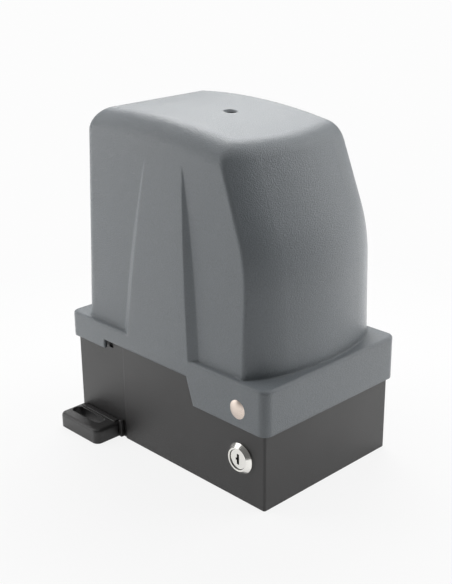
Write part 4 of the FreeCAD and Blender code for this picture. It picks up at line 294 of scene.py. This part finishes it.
def make_foot_details():
    """At each foot a raised lip along the wall and a narrow stop beside its end."""
    low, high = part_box("base_housing")
    wall = high[1] - FOOT_REACH
    for side, name in ((-1, "right"), (1, "left")):
        work = bmesh.new()

        def slab(x0, x1, y0, y1, z0, z1):
            ys = sorted((side * y0, side * y1))
            add_slab(work, (x0, ys[0], z0), (x1, ys[1], z1))

        foot_end = low[0] + FOOT_LENGTH
        slab(low[0] + LIP_WIDTH, foot_end - LIP_WIDTH / 2, wall - SINK, wall + LIP_WIDTH,
             FOOT_TOP - SINK, FOOT_TOP + LIP_HEIGHT)
        stop = foot_end + STOP_GAP
        slab(stop, stop + STOP_LENGTH, wall - SINK, wall + STOP_REACH, SINK, STOP_HEIGHT)
        finish_piece("foot_lip_" + name, work, "base_plastic", "housing")


def add_ring(work, middle, across, up, inner, outer, depth):
    """A ring round the axis across x up, reaching depth to both sides of its middle."""
    axis = across.cross(up)
    turns = [2 * math.pi * i / RING_SEGMENTS for i in range(RING_SEGMENTS)]
    loops = []
    for radius, rise in ((inner, -depth), (inner, depth), (outer, depth), (outer, -depth)):
        points = [radius * (math.cos(t) * across + math.sin(t) * up) for t in turns]
        loops.append([work.verts.new(middle + point + rise * axis) for point in points])
    for k, loop in enumerate(loops):
        after = loops[(k + 1) % len(loops)]
        for i in range(RING_SEGMENTS):
            j = (i + 1) % RING_SEGMENTS
            work.faces.new((loop[i], loop[j], after[j], after[i]))


def make_rings():
    """Painted shade: a dark ring in the gap round the lock's key plug, and a dark wall in the hole
    over the cover's screw, both put where there is only shade.
    """
    x_axis, y_axis, z_axis = Vector((1, 0, 0)), Vector((0, 1, 0)), Vector((0, 0, 1))
    # painted shade: a dark rubber ring stands in for the shaded gap round the lock's key plug
    low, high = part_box("lock_plug")
    middle = Vector(((low[0] + high[0]) / 2, low[1], (low[2] + high[2]) / 2))
    inner = LOCK_GAP_SHADE_RADIUS - LOCK_GAP_SHADE_WIDTH
    work = bmesh.new()
    add_ring(work, middle, x_axis, z_axis, inner, LOCK_GAP_SHADE_RADIUS, LOCK_GAP_SHADE_RISE)
    finish_piece("lock_gap_painted_shade", work, "rubber", "housing")
    # painted shade: a dark rubber lining darkens the hole over the cover's screw, where shade
    # falls
    low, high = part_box("cover_screw")
    middle = Vector(((low[0] + high[0]) / 2, (low[1] + high[1]) / 2, high[2] - HOLE_SHADE_DROP))
    work = bmesh.new()
    add_ring(work, middle, x_axis, y_axis, HOLE_SHADE_INSIDE, HOLE_SHADE_OUTSIDE, HOLE_SHADE_DEPTH)
    finish_piece("screw_hole_painted_shade", work, "rubber", "cover")


# ------------------------------------------------------------------ floor, backdrop, light
FLOOR_SIZE = 6.0
FLOOR_ALBEDO = 0.85
BACKDROP_WHITE = 0.975      # linear white of floor and backdrop where nothing shades them
SHADOW_SHARE = 0.12         # how much of the floor's white is real, shaded light
SHADOW_FADE = (0.22, 0.5)   # the shaded share ends between these distances
GLOSS_FLOOR = 0.75          # glow added to the floor in reflections
GLOSS_WORLD = 0.20
LIGHT_AIM = (0, 0, 0.15)
# name, place, size, power
LIGHTS = (
    ("top_light", (0, -0.1, 1.25), (1.0, 1.0), 6.0),
    ("rear_light", (-0.7, 0.7, 1.1), (1.0, 1.0), 15.5),
    ("left_light", (-1.1, -0.55, 1.05), (1.0, 0.8), 6.2),
    ("left_low_light", (-1.15, -0.75, 0.3), (0.8, 0.5), 5.0),
    ("right_light", (0.65, 1.05, 0.9), (1.2, 0.8), 11.3),
    ("right_low_light", (0.5, 1.2, 0.15), (0.8, 0.25), 2.0),
)


def add_area(name, place, size, power):
    """A softbox that faces the middle of the object."""
    data = bpy.data.lights.new(name, "AREA")
    data.shape = "RECTANGLE"
    data.size = size[0]
    data.size_y = size[1]
    data.energy = power
    light = bpy.data.objects.new(name, data)
    light.location = place
    light.rotation_euler = (Vector(LIGHT_AIM) - Vector(place)).to_track_quat("-Z", "Y").to_euler()
    bpy.context.scene.collection.objects.link(light)


def grey(value):
    """An opaque grey."""
    return (value, value, value, 1)


def make_floor():
    """A white table: what the camera sees of it is mostly flat white, dimmed by soft shadows."""
    mesh = bpy.data.meshes.new("floor")
    floor = bpy.data.objects.new("floor", mesh)
    work = bmesh.new()
    corners = [(-1, -1), (1, -1), (1, 1), (-1, 1)]
    work.faces.new([work.verts.new((x * FLOOR_SIZE, y * FLOOR_SIZE, 0)) for x, y in corners])
    work.to_mesh(mesh)
    work.free()
    bpy.context.scene.collection.objects.link(floor)
    material = bpy.data.materials.new("floor")
    material.use_nodes = True
    tree = material.node_tree
    tree.nodes.clear()
    output = tree.nodes.new("ShaderNodeOutputMaterial")
    path = tree.nodes.new("ShaderNodeLightPath")
    lit = add_node(tree, "ShaderNodeBsdfDiffuse", Color=grey(FLOOR_ALBEDO))
    mirrored = add_node(tree, "ShaderNodeEmission", Color=grey(1.0), Strength=GLOSS_FLOOR)
    white = add_node(tree, "ShaderNodeEmission", Color=grey(1.0), Strength=BACKDROP_WHITE)
    shaded = tree.nodes.new("ShaderNodeMixShader")
    coords = tree.nodes.new("ShaderNodeTexCoord")
    reach = tree.nodes.new("ShaderNodeVectorMath")
    reach.operation = "LENGTH"
    tree.links.new(coords.outputs["Object"], reach.inputs[0])
    share = level(tree, reach.outputs["Value"], *SHADOW_FADE, SHADOW_SHARE, 0.0)
    tree.links.new(share, shaded.inputs["Fac"])
    tree.links.new(white.outputs[0], shaded.inputs[1])
    tree.links.new(lit.outputs[0], shaded.inputs[2])
    bright = tree.nodes.new("ShaderNodeAddShader")
    tree.links.new(lit.outputs[0], bright.inputs[0])
    tree.links.new(mirrored.outputs[0], bright.inputs[1])
    by_gloss = tree.nodes.new("ShaderNodeMixShader")
    tree.links.new(path.outputs["Is Glossy Ray"], by_gloss.inputs["Fac"])
    tree.links.new(lit.outputs[0], by_gloss.inputs[1])
    tree.links.new(bright.outputs[0], by_gloss.inputs[2])
    by_camera = tree.nodes.new("ShaderNodeMixShader")
    tree.links.new(path.outputs["Is Camera Ray"], by_camera.inputs["Fac"])
    tree.links.new(by_gloss.outputs[0], by_camera.inputs[1])
    tree.links.new(shaded.outputs[0], by_camera.inputs[2])
    tree.links.new(by_camera.outputs[0], output.inputs["Surface"])
    mesh.materials.append(material)


def make_world():
    """White where the camera looks past the floor, dim grey in reflections."""
    world = bpy.data.worlds.new("world")
    bpy.context.scene.world = world
    world.use_nodes = True
    tree = world.node_tree
    tree.nodes.clear()
    output = tree.nodes.new("ShaderNodeOutputWorld")
    path = tree.nodes.new("ShaderNodeLightPath")
    mirrored = add_node(tree, "ShaderNodeMath", operation="MULTIPLY")
    mirrored.inputs[1].default_value = GLOSS_WORLD
    seen = add_node(tree, "ShaderNodeMath", operation="MULTIPLY_ADD")
    seen.inputs[1].default_value = BACKDROP_WHITE
    tree.links.new(path.outputs["Is Glossy Ray"], mirrored.inputs[0])
    tree.links.new(path.outputs["Is Camera Ray"], seen.inputs[0])
    tree.links.new(mirrored.outputs[0], seen.inputs[2])
    background = add_node(tree, "ShaderNodeBackground", Color=grey(1.0))
    tree.links.new(seen.outputs[0], background.inputs["Strength"])
    tree.links.new(background.outputs[0], output.inputs["Surface"])


def make_lights():
    """Softboxes overhead and behind, and a high and a low one on each side of the camera."""
    for light in LIGHTS:
        add_area(*light)


make_camera()
make_world()
make_floor()
make_lights()
dress_nodes()
make_foot_details()
make_rings()

bpy.context.scene.view_settings.view_transform = "Standard"
